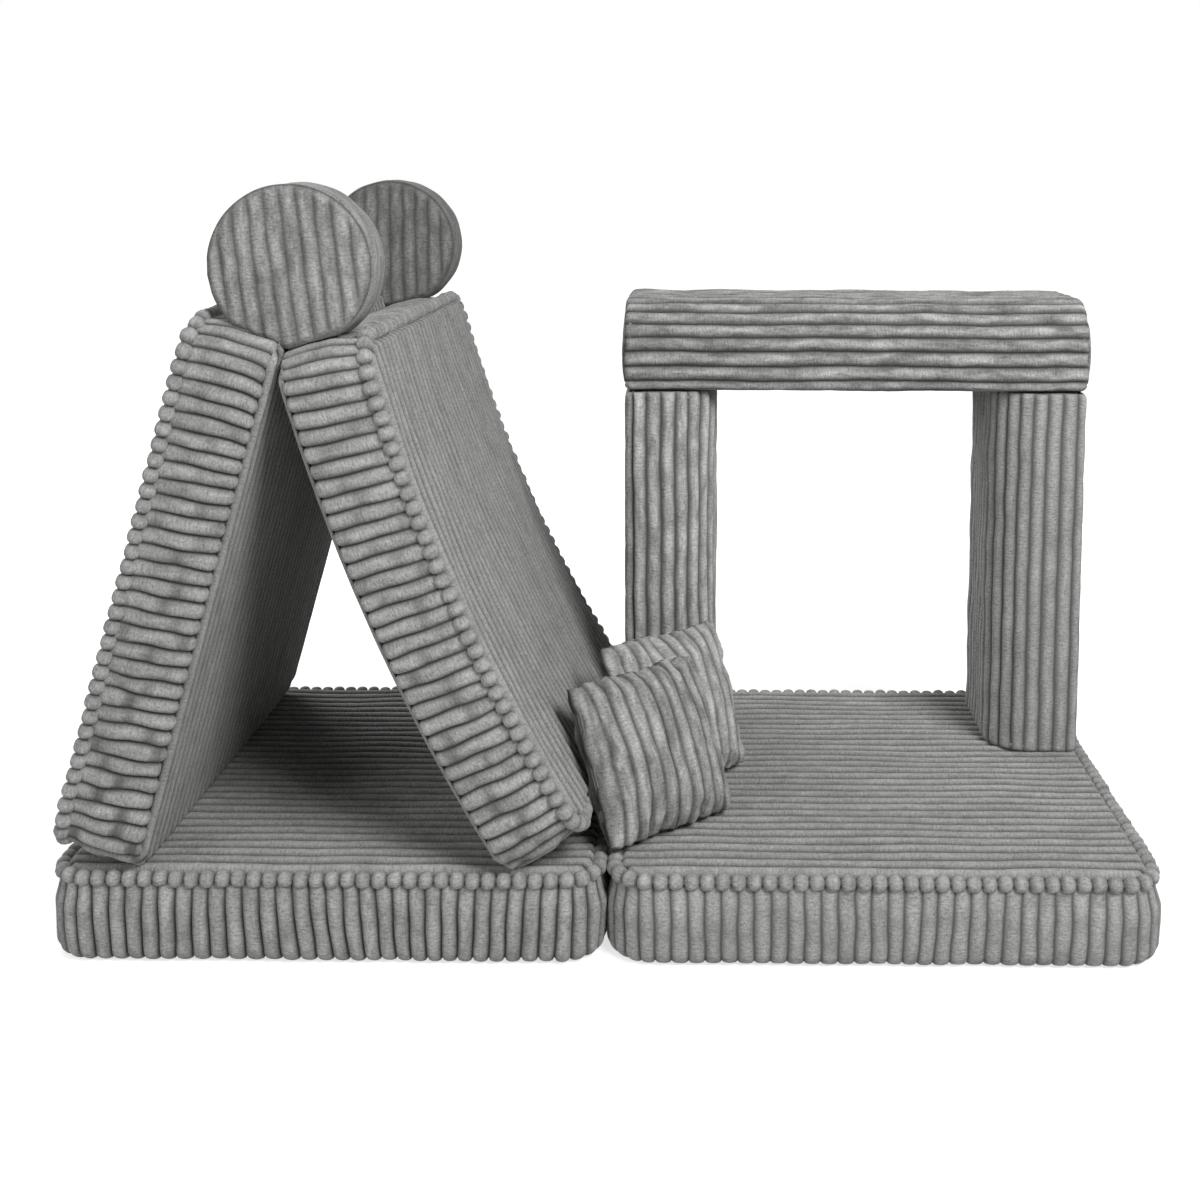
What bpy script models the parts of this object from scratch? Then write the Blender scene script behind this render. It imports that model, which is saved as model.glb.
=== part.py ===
"""Modular foam play sofa in ribbed plush: four mattresses, three blocks, two discs and two pillows.

They are set out as a tent and a doorway. Metres, +Z up. The origin lies under the middle of the
whole set, on the floor. The set is seen from -Y, and its long side runs along X.
"""

import math

import bmesh
import bpy
from mathutils import Matrix, Vector

# Clearances and cutting
GAP = 0.0003
MERGE = 0.00001
FLAT_ANGLE = math.radians(0.5)
OVERRUN = 0.02
CORNER_STEPS = 4
PIPING_RESOLUTION = 2
SMOOTH_ANGLE = math.radians(40.0)

# Ribbed plush cloth
RIB_PITCH = 0.025
RIB_DEPTH = 0.005
CLOTH_BACKING = 0.005
CLOTH = RIB_DEPTH + CLOTH_BACKING

# Beaded piping along a mattress's top seam
PIPING_DIAMETER = 0.024
PIPING_DROP = 0.0005

# Mattress: local X runs along the ribs, local Z is its thickness, with the plain side at zero
MATTRESS_SIDE = 0.800
MATTRESS_THICK = 0.136
MATTRESS_CORNER = 0.065
MATTRESS_TUCK = 0.022
MATTRESS_ZIP = 0.560
MATTRESS_ZIP_HEIGHT = 0.048

# Tent: two mattresses that lean together on the left seat
TENT_FROM_SEAM = 0.0384
TENT_LEFT_LEAN = math.radians(16.0)
TENT_RIGHT_LEAN = math.radians(23.0)
TENT_RIGHT_SAG = 0.030
TENT_FORWARD = 0.020
BEND_SPANS = 4

# Block: local X is its length, along the ribs. Its foot is flat and its top edges are round
BLOCK_DEPTH = 0.305
BLOCK_HEIGHT = 0.156
BLOCK_TOP_RADIUS = 0.078
BLOCK_FOOT_RADIUS = 0.020
BLOCK_END = 0.012
BLOCK_END_ROUND = 0.004
BLOCK_END_STEPS = 6
BLOCK_ZIP = 0.400
POST_LENGTH = 0.623
LINTEL_SHORTER = 0.020

# Doorway: two posts and a lintel on the right seat
DOOR_FROM_SEAM = 0.001
DOOR_FROM_FRONT = 0.468

# Disc: local Z is its axis, with the ribbed face at the far side
DISC_DIAMETER = 0.230
DISC_THICK = 0.105
DISC_SINK_LEFT = 0.022
DISC_SINK_RIGHT = 0.007
DISC_BACK = 0.008
DISC_FRONT_INSET = 0.030
DISC_BACK_INSET = 0.005
DISC_TILT = math.radians(6.0)
DISC_ZIP_HEIGHT = 0.050
DISC_ZIP_LOW = math.radians(186.0)
DISC_ZIP_HIGH = math.radians(104.0)
DISC_SEGMENTS = 36
DISC_ZIP_STEPS = 9
CUT_STEPS = 10

# Pillow: local X is its width, local Y its height from its lower edge, local Z its front
PILLOW_SIDE = 0.248
PILLOW_PUFF = 0.046
PILLOW_CLOTH = 0.006
PILLOW_RIB_DEPTH = 0.003
PILLOW_DRAW_IN = 0.009
PILLOW_ZIP = 0.170
PILLOW_ZIP_WIDTH = 0.006
PILLOW_ZIP_DEPTH = 0.009
PILLOW_YAW = math.radians(42.0)
PILLOW_FRONT_FROM_SEAM = 0.000
PILLOW_FRONT_FROM_FRONT = 0.060
PILLOW_FRONT_LEAN = math.radians(24.0)
PILLOW_BACK_FROM_SEAM = 0.024
PILLOW_BACK_FROM_FRONT = 0.238
PILLOW_BACK_LEAN = math.radians(20.0)
PILLOW_ROWS = 6
PILLOW_COLUMNS_PER_RIB = 2
PILLOW_FLANGE_share = 0.9
PILLOW_FULLNESS_share = 0.6
FILLING_EDGE_share = 0.6
FILLING_CORNER_share = 0.25
FILLING_EASE = 0.0018

# Zips
CHAIN_WIDTH = 0.020
CHAIN_THICK = 0.0025
SLIDER_LENGTH = 0.016
SLIDER_WIDTH = 0.012
SLIDER_THICK = 0.004
SLIDER_REST = 0.006

# Worked out from the sizes above
PIPING_RADIUS = PIPING_DIAMETER / 2
SEAM_HALF = GAP / 2
SEAT_Y = TENT_FORWARD / 2
TENT_Y = -TENT_FORWARD / 2
SEAT_TOP = MATTRESS_THICK + GAP
SEAT_FRONT = SEAT_Y - MATTRESS_SIDE / 2
DISC_RADIUS = DISC_DIAMETER / 2
LINTEL_LENGTH = MATTRESS_SIDE - LINTEL_SHORTER

# Finishes: colour in linear light, roughness, metallic
PLUSH = ((0.30, 0.30, 0.295), 0.92, 0.0)
FOAM = ((0.80, 0.78, 0.66), 0.90, 0.0)
FIBRE = ((0.88, 0.88, 0.86), 0.95, 0.0)
COIL = ((0.10, 0.10, 0.10), 0.55, 0.0)
ENAMEL = ((0.16, 0.16, 0.16), 0.40, 0.8)


def clear_scene():
    """Removes what the scene holds."""
    for item in list(bpy.data.objects):
        bpy.data.objects.remove(item, do_unlink=True)


def collection(name):
    """A new collection under the scene's own."""
    made = bpy.data.collections.new(name)
    bpy.context.scene.collection.children.link(made)
    return made


# Outlines

def corner_path(width, height, radii):
    """The four arcs of a rectangle, anticlockwise from its lower right: centre, radius, start angle."""
    signs = ((1, -1), (1, 1), (-1, 1), (-1, -1))
    path = []
    for index, ((sx, sy), radius) in enumerate(zip(signs, radii)):
        centre = Vector((sx * (width / 2 - radius), sy * (height / 2 - radius)))
        path.append((centre, radius, (index - 1) * math.pi / 2))
    return path


def on_arc(arc, angle):
    """The point of an arc at an angle past its start, and the outward direction there."""
    centre, radius, start = arc
    normal = Vector((math.cos(start + angle), math.sin(start + angle)))
    return centre + radius * normal, normal


def path_runs(path):
    """Each arc with the straight run after it: arc, arc length, run start, run vector."""
    runs = []
    for arc, following in zip(path, path[1:] + path[:1]):
        end, _ = on_arc(arc, math.pi / 2)
        start, _ = on_arc(following, 0)
        runs.append((arc, arc[1] * math.pi / 2, end, start - end))
    return runs


def walk(path, distance):
    """The point and the outward direction at a distance round a path."""
    for arc, arc_length, end, run in path_runs(path):
        if distance <= arc_length:
            return on_arc(arc, distance / arc[1])
        distance -= arc_length
        if distance <= run.length:
            _, normal = on_arc(arc, math.pi / 2)
            return end + run.normalized() * distance, normal
        distance -= run.length
    return on_arc(path[0], 0)


def path_length(path):
    return sum(arc_length + run.length for _, arc_length, _, run in path_runs(path))


def ribbed_outline(path):
    """A path with a crest and a valley for each rib."""
    total = path_length(path)
    points = 2 * round(total / RIB_PITCH)
    outline = []
    for index in range(points):
        point, normal = walk(path, total * (index + 0.5) / points)
        outline.append(point - normal * (RIB_DEPTH if index % 2 else 0))
    return outline


def plain_outline(path, steps):
    """A path with this many steps in each corner."""
    return [on_arc(arc, math.pi / 2 * step / steps)[0] for arc in path for step in range(steps + 1)]


def circle(radius, segments):
    """Points round a circle."""
    turns = [2 * math.pi * index / segments for index in range(segments)]
    return [Vector((radius * math.cos(turn), radius * math.sin(turn))) for turn in turns]


def ring_sector(inner, outer, first, last, steps):
    """The outline of a piece of a ring between two angles."""
    angles = [first + (last - first) * step / steps for step in range(steps + 1)]
    out = [Vector((outer * math.cos(angle), outer * math.sin(angle))) for angle in angles]
    back = [Vector((inner * math.cos(angle), inner * math.sin(angle))) for angle in reversed(angles)]
    return out + back


def rib_profile(width, floor, crest):
    """A slab's section: flat below, with ribs above, centred on zero."""
    count = max(1, round(width / RIB_PITCH))
    pitch = width / count
    points = [Vector((-width / 2, floor)), Vector((width / 2, floor))]
    for index in range(2 * count, -1, -1):
        drop = 0 if index % 2 else RIB_DEPTH
        points.append(Vector((-width / 2 + pitch * index / 2, crest - drop)))
    return points


# Meshes

def prism(outline, low, high):
    """A closed mesh: an outline in XY, filled and extruded along Z."""
    curve = bpy.data.curves.new("outline", "CURVE")
    curve.dimensions = "2D"
    curve.fill_mode = "BOTH"
    curve.extrude = (high - low) / 2
    spline = curve.splines.new("POLY")
    spline.points.add(len(outline) - 1)
    for point, place in zip(spline.points, outline):
        point.co = (place.x, place.y, 0, 1)
    spline.use_cyclic_u = True
    guide = bpy.data.objects.new("outline", curve)
    bpy.context.scene.collection.objects.link(guide)
    mesh = evaluated_mesh(guide)
    bpy.data.objects.remove(guide)

    def change(bm):
        bmesh.ops.translate(bm, verts=bm.verts, vec=(0, 0, (low + high) / 2))
        for height in (low, high):
            cap = [face for face in bm.faces if all(abs(vert.co.z - height) < MERGE for vert in face.verts)]
            bmesh.ops.dissolve_faces(bm, faces=cap)
    return reworked(mesh, change)


def evaluated_mesh(item):
    """The object's mesh with its modifiers, or a curve's solid."""
    bpy.context.view_layer.update()
    graph = bpy.context.evaluated_depsgraph_get()
    return bpy.data.meshes.new_from_object(item.evaluated_get(graph))


def join_flats(bm):
    """Makes one face of those that lie in one plane."""
    bmesh.ops.dissolve_limit(
        bm, angle_limit=FLAT_ANGLE, use_dissolve_boundaries=False, verts=bm.verts, edges=bm.edges
    )


def reworked(mesh, change=None):
    """The mesh welded, after a change to its bmesh, with its faces outwards."""
    bm = bmesh.new()
    bm.from_mesh(mesh)
    bmesh.ops.remove_doubles(bm, verts=bm.verts, dist=MERGE)
    if change:
        change(bm)
    bmesh.ops.recalc_face_normals(bm, faces=bm.faces)
    bm.to_mesh(mesh)
    bm.free()
    return mesh


def along_x(mesh):
    """Turns a prism so that its section lies in YZ and its length along X."""
    turn = Matrix(((0, 0, 1, 0), (1, 0, 0, 0), (0, 1, 0, 0), (0, 0, 0, 1)))
    return reworked(mesh, lambda bm: bmesh.ops.transform(bm, matrix=turn, verts=bm.verts))


def box(low, high):
    """A box between two corners."""
    low, high = Vector(low), Vector(high)
    place = Matrix.Translation((low + high) / 2) @ Matrix.Diagonal((*(high - low), 1))
    mesh = bpy.data.meshes.new("box")
    bm = bmesh.new()
    bmesh.ops.create_cube(bm, size=1, matrix=place)
    bm.to_mesh(mesh)
    bm.free()
    return mesh


def carved(mesh, tools, operation="DIFFERENCE"):
    """The mesh after a Boolean with each tool's mesh."""
    body = bpy.data.objects.new("body", mesh)
    bpy.context.scene.collection.objects.link(body)
    cutters = []
    for tool in tools:
        cutter = bpy.data.objects.new("cutter", tool)
        bpy.context.scene.collection.objects.link(cutter)
        modifier = body.modifiers.new("cut", "BOOLEAN")
        modifier.operation = operation
        modifier.object = cutter
        cutters.append(cutter)
    result = evaluated_mesh(body)
    for item in [body] + cutters:
        bpy.data.objects.remove(item)
    return reworked(result, join_flats)


def bevelled(mesh, chosen, width):
    """The mesh with a flat bevel on the edges that a test picks."""
    def change(bm):
        edges = [edge for edge in bm.edges if all(chosen(vert.co) for vert in edge.verts)]
        bmesh.ops.bevel(
            bm, geom=edges, offset=width, offset_type="OFFSET", segments=1, profile=0.5, affect="EDGES"
        )
    return reworked(mesh, change)


def tube(path, steps, height, radius):
    """A round tube that follows a path at a height."""
    curve = bpy.data.curves.new("tube", "CURVE")
    curve.dimensions = "3D"
    curve.bevel_depth = radius
    curve.bevel_resolution = PIPING_RESOLUTION
    outline = plain_outline(path, steps)
    spline = curve.splines.new("POLY")
    spline.points.add(len(outline) - 1)
    for point, place in zip(spline.points, outline):
        point.co = (place.x, place.y, height, 1)
    spline.use_cyclic_u = True
    guide = bpy.data.objects.new("tube", curve)
    bpy.context.scene.collection.objects.link(guide)
    mesh = evaluated_mesh(guide)
    bpy.data.objects.remove(guide)
    return reworked(mesh)


def lens(columns, rows, plan, upper, lower):
    """A closed mesh over a grid: plan places it, and two functions of (u, v) give its faces."""
    mesh = bpy.data.meshes.new("lens")
    bm = bmesh.new()
    bmesh.ops.create_grid(bm, x_segments=columns, y_segments=rows, size=1)
    top = list(bm.verts)
    made = bmesh.ops.extrude_face_region(bm, geom=bm.faces[:])
    bottom = [item for item in made["geom"] if isinstance(item, bmesh.types.BMVert)]
    for verts, face in ((top, upper), (bottom, lower)):
        for vert in verts:
            u, v = vert.co.x, vert.co.y
            vert.co = Vector((*plan(u, v), face(u, v)))
    bmesh.ops.triangulate(bm, faces=bm.faces, quad_method="FIXED")
    bmesh.ops.recalc_face_normals(bm, faces=bm.faces)
    bm.to_mesh(mesh)
    bm.free()
    return mesh


# Objects

def module_frame(name, matrix, parts):
    """An empty that carries a module's pieces."""
    frame = bpy.data.objects.new(name + "_frame", None)
    parts.objects.link(frame)
    frame.matrix_world = matrix
    return frame


def material(name, finish):
    """A piece's own material, from its finish: colour, roughness, metallic."""
    colour, roughness, metallic = finish
    made = bpy.data.materials.new(name)
    made.use_nodes = True
    shader = made.node_tree.nodes["Principled BSDF"]
    shader.inputs["Base Color"].default_value = (*colour, 1)
    shader.inputs["Roughness"].default_value = roughness
    shader.inputs["Metallic"].default_value = metallic
    return made


def piece(name, mesh, finish, frame, parts, origin=(0, 0, 0), smooth=False):
    """One named solid with its own material, carried by a module's frame, its origin at a place."""
    origin = Vector(origin)
    if origin.length:
        mesh = mesh.copy()
        mesh.transform(Matrix.Translation(-origin))
    item = bpy.data.objects.new(name, mesh)
    parts.objects.link(item)
    item.parent = frame
    item.location = origin
    if smooth:
        mesh.shade_smooth()
        mesh.set_sharp_from_angle(angle=SMOOTH_ANGLE)
    if not mesh.materials:
        mesh.materials.append(None)
    item.material_slots[0].link = "OBJECT"
    item.material_slots[0].material = material(name, finish)
    return item


# Zips

def straight_zip(length, wall_face, width):
    """A chain and a slider along Y, lying on X = wall_face, with the outside towards -X."""
    chain = box(
        (wall_face - CHAIN_THICK, -length / 2 + GAP, -width / 2 + GAP),
        (wall_face, length / 2 - GAP, width / 2 - GAP),
    )
    slider_width = min(SLIDER_WIDTH, width - 2 * GAP)
    face = wall_face - CHAIN_THICK - GAP
    slider = box(
        (face - SLIDER_THICK, -SLIDER_LENGTH / 2, -slider_width / 2),
        (face, SLIDER_LENGTH / 2, slider_width / 2),
    )
    slider = bevelled(slider, lambda co: co.x < face - SLIDER_THICK / 2, SLIDER_THICK / 4)
    return chain, slider


def moved(mesh, matrix):
    """A copy of the mesh under a matrix."""
    mesh = mesh.copy()
    mesh.transform(matrix)
    return mesh


# Mattress

def mattress_path(inset):
    """The mattress's plan, this far inside its outer side."""
    side = MATTRESS_SIDE - 2 * inset
    return corner_path(side, side, [max(MATTRESS_CORNER - inset, GAP)] * 4)


def tucked(mesh, base, inset):
    """Draws the lower edge of a square prism inwards. An inset surface has a shorter slope."""
    leg = MATTRESS_TUCK - (2 - math.sqrt(2)) * inset
    flat = MATTRESS_SIDE / 2 - MATTRESS_CORNER

    def outwards(co):
        beyond = [math.copysign(max(abs(part) - flat, 0), part) for part in co.xy]
        return Vector(beyond).normalized()

    def change(bm):
        bmesh.ops.bisect_plane(
            bm, geom=bm.verts[:] + bm.edges[:] + bm.faces[:], dist=MERGE,
            plane_co=(0, 0, base + leg), plane_no=(0, 0, 1),
        )
        for vert in bm.verts:
            if vert.co.z < base + MERGE:
                vert.co.xy -= outwards(vert.co) * leg
    return reworked(mesh, change)


def mattress_boxing():
    """The ribbed side band with the plain underside: a tray that holds the foam."""
    top = MATTRESS_THICK - PIPING_DROP - PIPING_DIAMETER - GAP
    body = tucked(prism(ribbed_outline(mattress_path(0)), 0, top), 0, 0)
    pocket = prism(plain_outline(mattress_path(CLOTH), CORNER_STEPS), CLOTH_BACKING, MATTRESS_THICK + OVERRUN)
    pocket = tucked(pocket, CLOTH_BACKING, CLOTH_BACKING)
    slot = box(
        (-MATTRESS_SIDE / 2 - OVERRUN, -MATTRESS_ZIP / 2, MATTRESS_ZIP_HEIGHT - CHAIN_WIDTH / 2),
        (-MATTRESS_SIDE / 2 + CLOTH + OVERRUN, MATTRESS_ZIP / 2, MATTRESS_ZIP_HEIGHT + CHAIN_WIDTH / 2),
    )
    return carved(body, [pocket, slot])


def mattress_top():
    """The ribbed top panel, inside the piping."""
    path = mattress_path(PIPING_DIAMETER + GAP)
    side = MATTRESS_SIDE - 2 * (PIPING_DIAMETER + GAP)
    ribs = rib_profile(side + 2 * RIB_PITCH, MATTRESS_THICK - CLOTH, MATTRESS_THICK)
    slab = along_x(prism(ribs, -MATTRESS_SIDE / 2, MATTRESS_SIDE / 2))
    shape = prism(plain_outline(path, CORNER_STEPS), -OVERRUN, MATTRESS_THICK + OVERRUN)
    return carved(slab, [shape], "INTERSECT")


def mattress_core():
    """The foam block, its top edge cut back behind the piping."""
    chamfer = math.sqrt(2) * (PIPING_RADIUS + GAP) + 2 * (PIPING_RADIUS - CLOTH - GAP) + PIPING_DROP
    top = MATTRESS_THICK - CLOTH - GAP
    base = CLOTH_BACKING + GAP
    outline = plain_outline(mattress_path(CLOTH + GAP), CORNER_STEPS)
    block = tucked(prism(outline, base, top), base, base)
    return bevelled(block, lambda co: co.z > top - GAP, chamfer)


def mattress_piping():
    """The piping along the top seam."""
    height = MATTRESS_THICK - PIPING_DROP - PIPING_RADIUS
    return tube(mattress_path(PIPING_RADIUS), CORNER_STEPS, height, PIPING_RADIUS)


def mattress_meshes():
    """A mattress's six pieces, in its own frame, and where its slider rests."""
    chain, slider = straight_zip(MATTRESS_ZIP, -MATTRESS_SIDE / 2 + CLOTH, CHAIN_WIDTH)
    lift = Matrix.Translation((0, 0, MATTRESS_ZIP_HEIGHT))
    rest_y = -MATTRESS_ZIP / 2 + SLIDER_REST + SLIDER_LENGTH / 2
    rest = Vector((-MATTRESS_SIDE / 2, rest_y, MATTRESS_ZIP_HEIGHT))
    slide = Matrix.Translation((0, rest_y, MATTRESS_ZIP_HEIGHT))
    return {
        "boxing": (mattress_boxing(), PLUSH),
        "top_panel": (mattress_top(), PLUSH),
        "foam_core": (mattress_core(), FOAM),
        "beaded_piping": (mattress_piping(), PLUSH),
        "zip_chain": (moved(chain, lift), COIL),
        "zip_slider": (moved(slider, slide), ENAMEL),
    }, rest


def bend_radius(sag):
    """Radius of the plain side of a mattress that sags this far over its length."""
    return MATTRESS_SIDE ** 2 / (8 * sag) + sag / 2


def bend_angle(x, sag):
    """The turn of a bent mattress at a place along its length."""
    return x / (bend_radius(sag) - MATTRESS_THICK / 2)


def bent(place, sag):
    """Where a point of a straight mattress lies when it sags."""
    reach = bend_radius(sag) - place.z
    angle = bend_angle(place.x, sag)
    return Vector((reach * math.sin(angle), place.y, bend_radius(sag) - reach * math.cos(angle)))


def bent_mesh(mesh, sag):
    """A copy of a mattress piece, divided between its corners and bent."""
    straight = MATTRESS_SIDE - 2 * MATTRESS_CORNER

    def change(bm):
        for index in range(BEND_SPANS + 1):
            station = straight * (index / BEND_SPANS - 1 / 2)
            bmesh.ops.bisect_plane(
                bm, geom=bm.verts[:] + bm.edges[:] + bm.faces[:], dist=MERGE,
                plane_co=(station, 0, 0), plane_no=(1, 0, 0),
            )
        for vert in bm.verts:
            vert.co = bent(vert.co, sag)
    return reworked(mesh.copy(), change)


def place_mattress(name, meshes, rest, matrix, parts):
    """One mattress's pieces under its frame."""
    frame = module_frame(name, matrix, parts)
    for part, (mesh, finish) in meshes.items():
        origin = rest if part == "zip_slider" else (0, 0, 0)
        piece(name + "_" + part, mesh, finish, frame, parts, origin, part == "beaded_piping")


def leaning(foot_local, foot_world, up, out):
    """The matrix that stands a module with its X along up and its Z along out."""
    turn = Matrix((up, out.cross(up), out)).transposed().to_4x4()
    return Matrix.Translation(foot_world) @ turn @ Matrix.Translation(-foot_local)


def tent_directions(lean, side):
    """Up the slope, and out of the tent, for a panel on this side."""
    up = Vector((-side * math.sin(lean), 0, math.cos(lean)))
    out = Vector((side * math.cos(lean), 0, math.sin(lean)))
    return up, out


def reach(mesh, matrix, direction):
    """How far a placed mesh goes in a direction."""
    return max((matrix @ vert.co).dot(direction) for vert in mesh.vertices)


def standing(band, foot_local, lean, side):
    """A panel's matrix when it stands on the left seat at X = 0. The band is its widest piece."""
    up, out = tent_directions(lean, side)
    matrix = leaning(foot_local, Vector((0, TENT_Y, 0)), up, out)
    lift = SEAT_TOP + reach(band, matrix, Vector((0, 0, -1)))
    return Matrix.Translation((0, 0, lift)) @ matrix


def tent_right_matrix(band):
    """The right panel's foot stands beside the seam between the seats."""
    foot_local = bent(Vector((-MATTRESS_SIDE / 2, 0, 0)), TENT_RIGHT_SAG)
    matrix = standing(band, foot_local, TENT_RIGHT_LEAN, 1)
    shift = -SEAM_HALF - TENT_FROM_SEAM - reach(band, matrix, Vector((1, 0, 0)))
    return Matrix.Translation((shift, 0, 0)) @ matrix


def tent_left_matrix(band, right_band, right_matrix):
    """The left panel's foot stands where its inner face meets the right panel's top end."""
    matrix = standing(band, Vector((-MATTRESS_SIDE / 2, 0, 0)), TENT_LEFT_LEAN, -1)
    inside = matrix.col[2].to_3d()
    shift = (reach(right_band, right_matrix, inside) + GAP - inside.dot(matrix.translation)) / inside.x
    return Matrix.Translation((shift, 0, 0)) @ matrix


# Block

def block_path(inset):
    """The block's section, this far inside, centred on its height."""
    radii = [BLOCK_FOOT_RADIUS] + [BLOCK_TOP_RADIUS] * 2 + [BLOCK_FOOT_RADIUS]
    radii = [max(radius - inset, GAP) for radius in radii]
    return corner_path(BLOCK_DEPTH - 2 * inset, BLOCK_HEIGHT - 2 * inset, radii)


def block_prism(outline, low, high):
    """A prism of the block's section, from one place along X to another, with its foot at zero."""
    lift = Matrix.Translation((0, 0, BLOCK_HEIGHT / 2))
    return moved(along_x(prism(outline, low, high)), lift)


def block_meshes(length):
    """A block's five pieces and where its slider rests."""
    mouth = length / 2 - BLOCK_END
    cover = block_prism(ribbed_outline(block_path(0)), -length / 2, mouth)
    floor = -length / 2 + CLOTH_BACKING
    pocket = block_prism(plain_outline(block_path(CLOTH), CORNER_STEPS), floor, length)
    slot = box(
        (-BLOCK_ZIP / 2, -CHAIN_WIDTH / 2, -OVERRUN),
        (BLOCK_ZIP / 2, CHAIN_WIDTH / 2, CLOTH + OVERRUN),
    )
    core = block_prism(plain_outline(block_path(CLOTH + GAP), CORNER_STEPS), floor + GAP, mouth)
    end = block_prism(plain_outline(block_path(0), BLOCK_END_STEPS), mouth + GAP, length / 2)
    end = bevelled(end, lambda co: co.x > length / 2 - GAP, BLOCK_END_ROUND)
    chain, slider = straight_zip(BLOCK_ZIP, CLOTH, CHAIN_WIDTH)
    upwards = Matrix(((0, 1, 0, 0), (0, 0, 1, 0), (1, 0, 0, 0), (0, 0, 0, 1)))
    rest = Vector((-BLOCK_ZIP / 2 + SLIDER_REST + SLIDER_LENGTH / 2, 0, 0))
    return {
        "cover": (carved(cover, [pocket, slot]), PLUSH),
        "end_panel": (end, PLUSH),
        "foam_core": (core, FOAM),
        "zip_chain": (moved(chain, upwards), COIL),
        "zip_slider": (moved(slider, Matrix.Translation(rest) @ upwards), ENAMEL),
    }, rest


def place_block(name, length, matrix, parts):
    frame = module_frame(name, matrix, parts)
    meshes, rest = block_meshes(length)
    for part, (mesh, finish) in meshes.items():
        origin = rest if part == "zip_slider" else (0, 0, 0)
        piece(name + "_" + part, mesh, finish, frame, parts, origin)


def post_matrix(outer_x, side):
    """A post stands with its flat foot outwards: side is 1 where its round edges face +X."""
    along, out = Vector((0, 0, 1)), Vector((side, 0, 0))
    foot_local = Vector((-POST_LENGTH / 2, 0, 0))
    foot_world = Vector((outer_x, door_middle_y(), SEAT_TOP))
    return leaning(foot_local, foot_world, along, out)


def door_middle_y():
    return SEAT_FRONT + DOOR_FROM_FRONT + BLOCK_DEPTH / 2


def door_left_x():
    return SEAM_HALF + DOOR_FROM_SEAM


def lintel_matrix():
    height = SEAT_TOP + POST_LENGTH + GAP
    return Matrix.Translation((door_left_x() + LINTEL_LENGTH / 2, door_middle_y(), height))


# Disc

def left_cut(to_disc, inset):
    """What the left panel's top end presses out of a disc, this far inside the panel's surface."""
    block = prism(plain_outline(mattress_path(inset), CUT_STEPS), -MATTRESS_THICK, MATTRESS_THICK)
    return moved(block, to_disc)


def right_cut():
    """What the right panel's top end presses out of a disc."""
    depth = DISC_RADIUS - DISC_SINK_RIGHT
    block = box((-DISC_DIAMETER, -DISC_DIAMETER, -OVERRUN), (DISC_DIAMETER, -depth, DISC_THICK + OVERRUN))
    return moved(block, Matrix.Rotation(right_end_lean(), 4, "Z"))


def disc_wheel():
    """The solid that the cover is cut from: a round with a ribbed face."""
    wheel = prism(circle(DISC_RADIUS, DISC_SEGMENTS), DISC_BACK + GAP, DISC_THICK)
    ribs = rib_profile(DISC_DIAMETER + 2 * RIB_PITCH, -OVERRUN, DISC_THICK)
    slab = along_x(prism(ribs, -DISC_DIAMETER, DISC_DIAMETER))
    return carved(wheel, [moved(slab, Matrix.Rotation(math.pi / 2, 4, "Z"))], "INTERSECT")


def disc_zip(inner):
    """The slot, the chain and the slider, round the rim of a pocket with this radius."""
    half = CHAIN_WIDTH / 2
    low, high = DISC_ZIP_HEIGHT - half, DISC_ZIP_HEIGHT + half
    first, last = DISC_ZIP_HIGH, DISC_ZIP_LOW
    slot = prism(ring_sector(inner - CLOTH, DISC_RADIUS + OVERRUN, first, last, DISC_ZIP_STEPS), low, high)
    ease = GAP / inner
    arc = ring_sector(inner, inner + CHAIN_THICK, first + ease, last - ease, DISC_ZIP_STEPS)
    chain = prism(arc, low + GAP, high - GAP)
    seat = inner + CHAIN_THICK + GAP
    half_angle = SLIDER_LENGTH / 2 / seat
    middle = last - half_angle - SLIDER_REST / seat
    arc = ring_sector(seat, seat + SLIDER_THICK, middle - half_angle, middle + half_angle, 2)
    slider = prism(arc, DISC_ZIP_HEIGHT - SLIDER_WIDTH / 2, DISC_ZIP_HEIGHT + SLIDER_WIDTH / 2)
    return slot, chain, slider


def disc_meshes(turn, to_disc):
    """A disc's five pieces. The left panel's frame is brought into the disc's by to_disc."""
    inner = DISC_RADIUS - CLOTH
    depth = DISC_THICK - CLOTH
    turned = Matrix.Rotation(turn, 4, "Z")
    slot, chain, slider = disc_zip(inner)
    pocket = carved(prism(circle(inner, DISC_SEGMENTS), -OVERRUN, depth), [left_cut(to_disc, -CLOTH)])
    cuts = [left_cut(to_disc, -2 * GAP), right_cut()]
    core = prism(circle(inner - 2 * GAP, DISC_SEGMENTS), DISC_BACK + GAP, depth - GAP)
    back = prism(circle(DISC_RADIUS, DISC_SEGMENTS), 0, DISC_BACK)
    return {
        "cover": (carved(moved(disc_wheel(), turned), [pocket, moved(slot, turned)] + cuts), PLUSH),
        "back_panel": (carved(moved(back, turned), cuts), PLUSH),
        "foam_core": (carved(core, [left_cut(to_disc, -CLOTH - GAP)]), FOAM),
        "zip_chain": (moved(chain, turned), COIL),
        "zip_slider": (moved(slider, turned), ENAMEL),
    }


def right_end_lean():
    """How far the right panel's top end tips towards the left panel."""
    return TENT_RIGHT_LEAN - bend_angle(MATTRESS_SIDE / 2, TENT_RIGHT_SAG)


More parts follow.
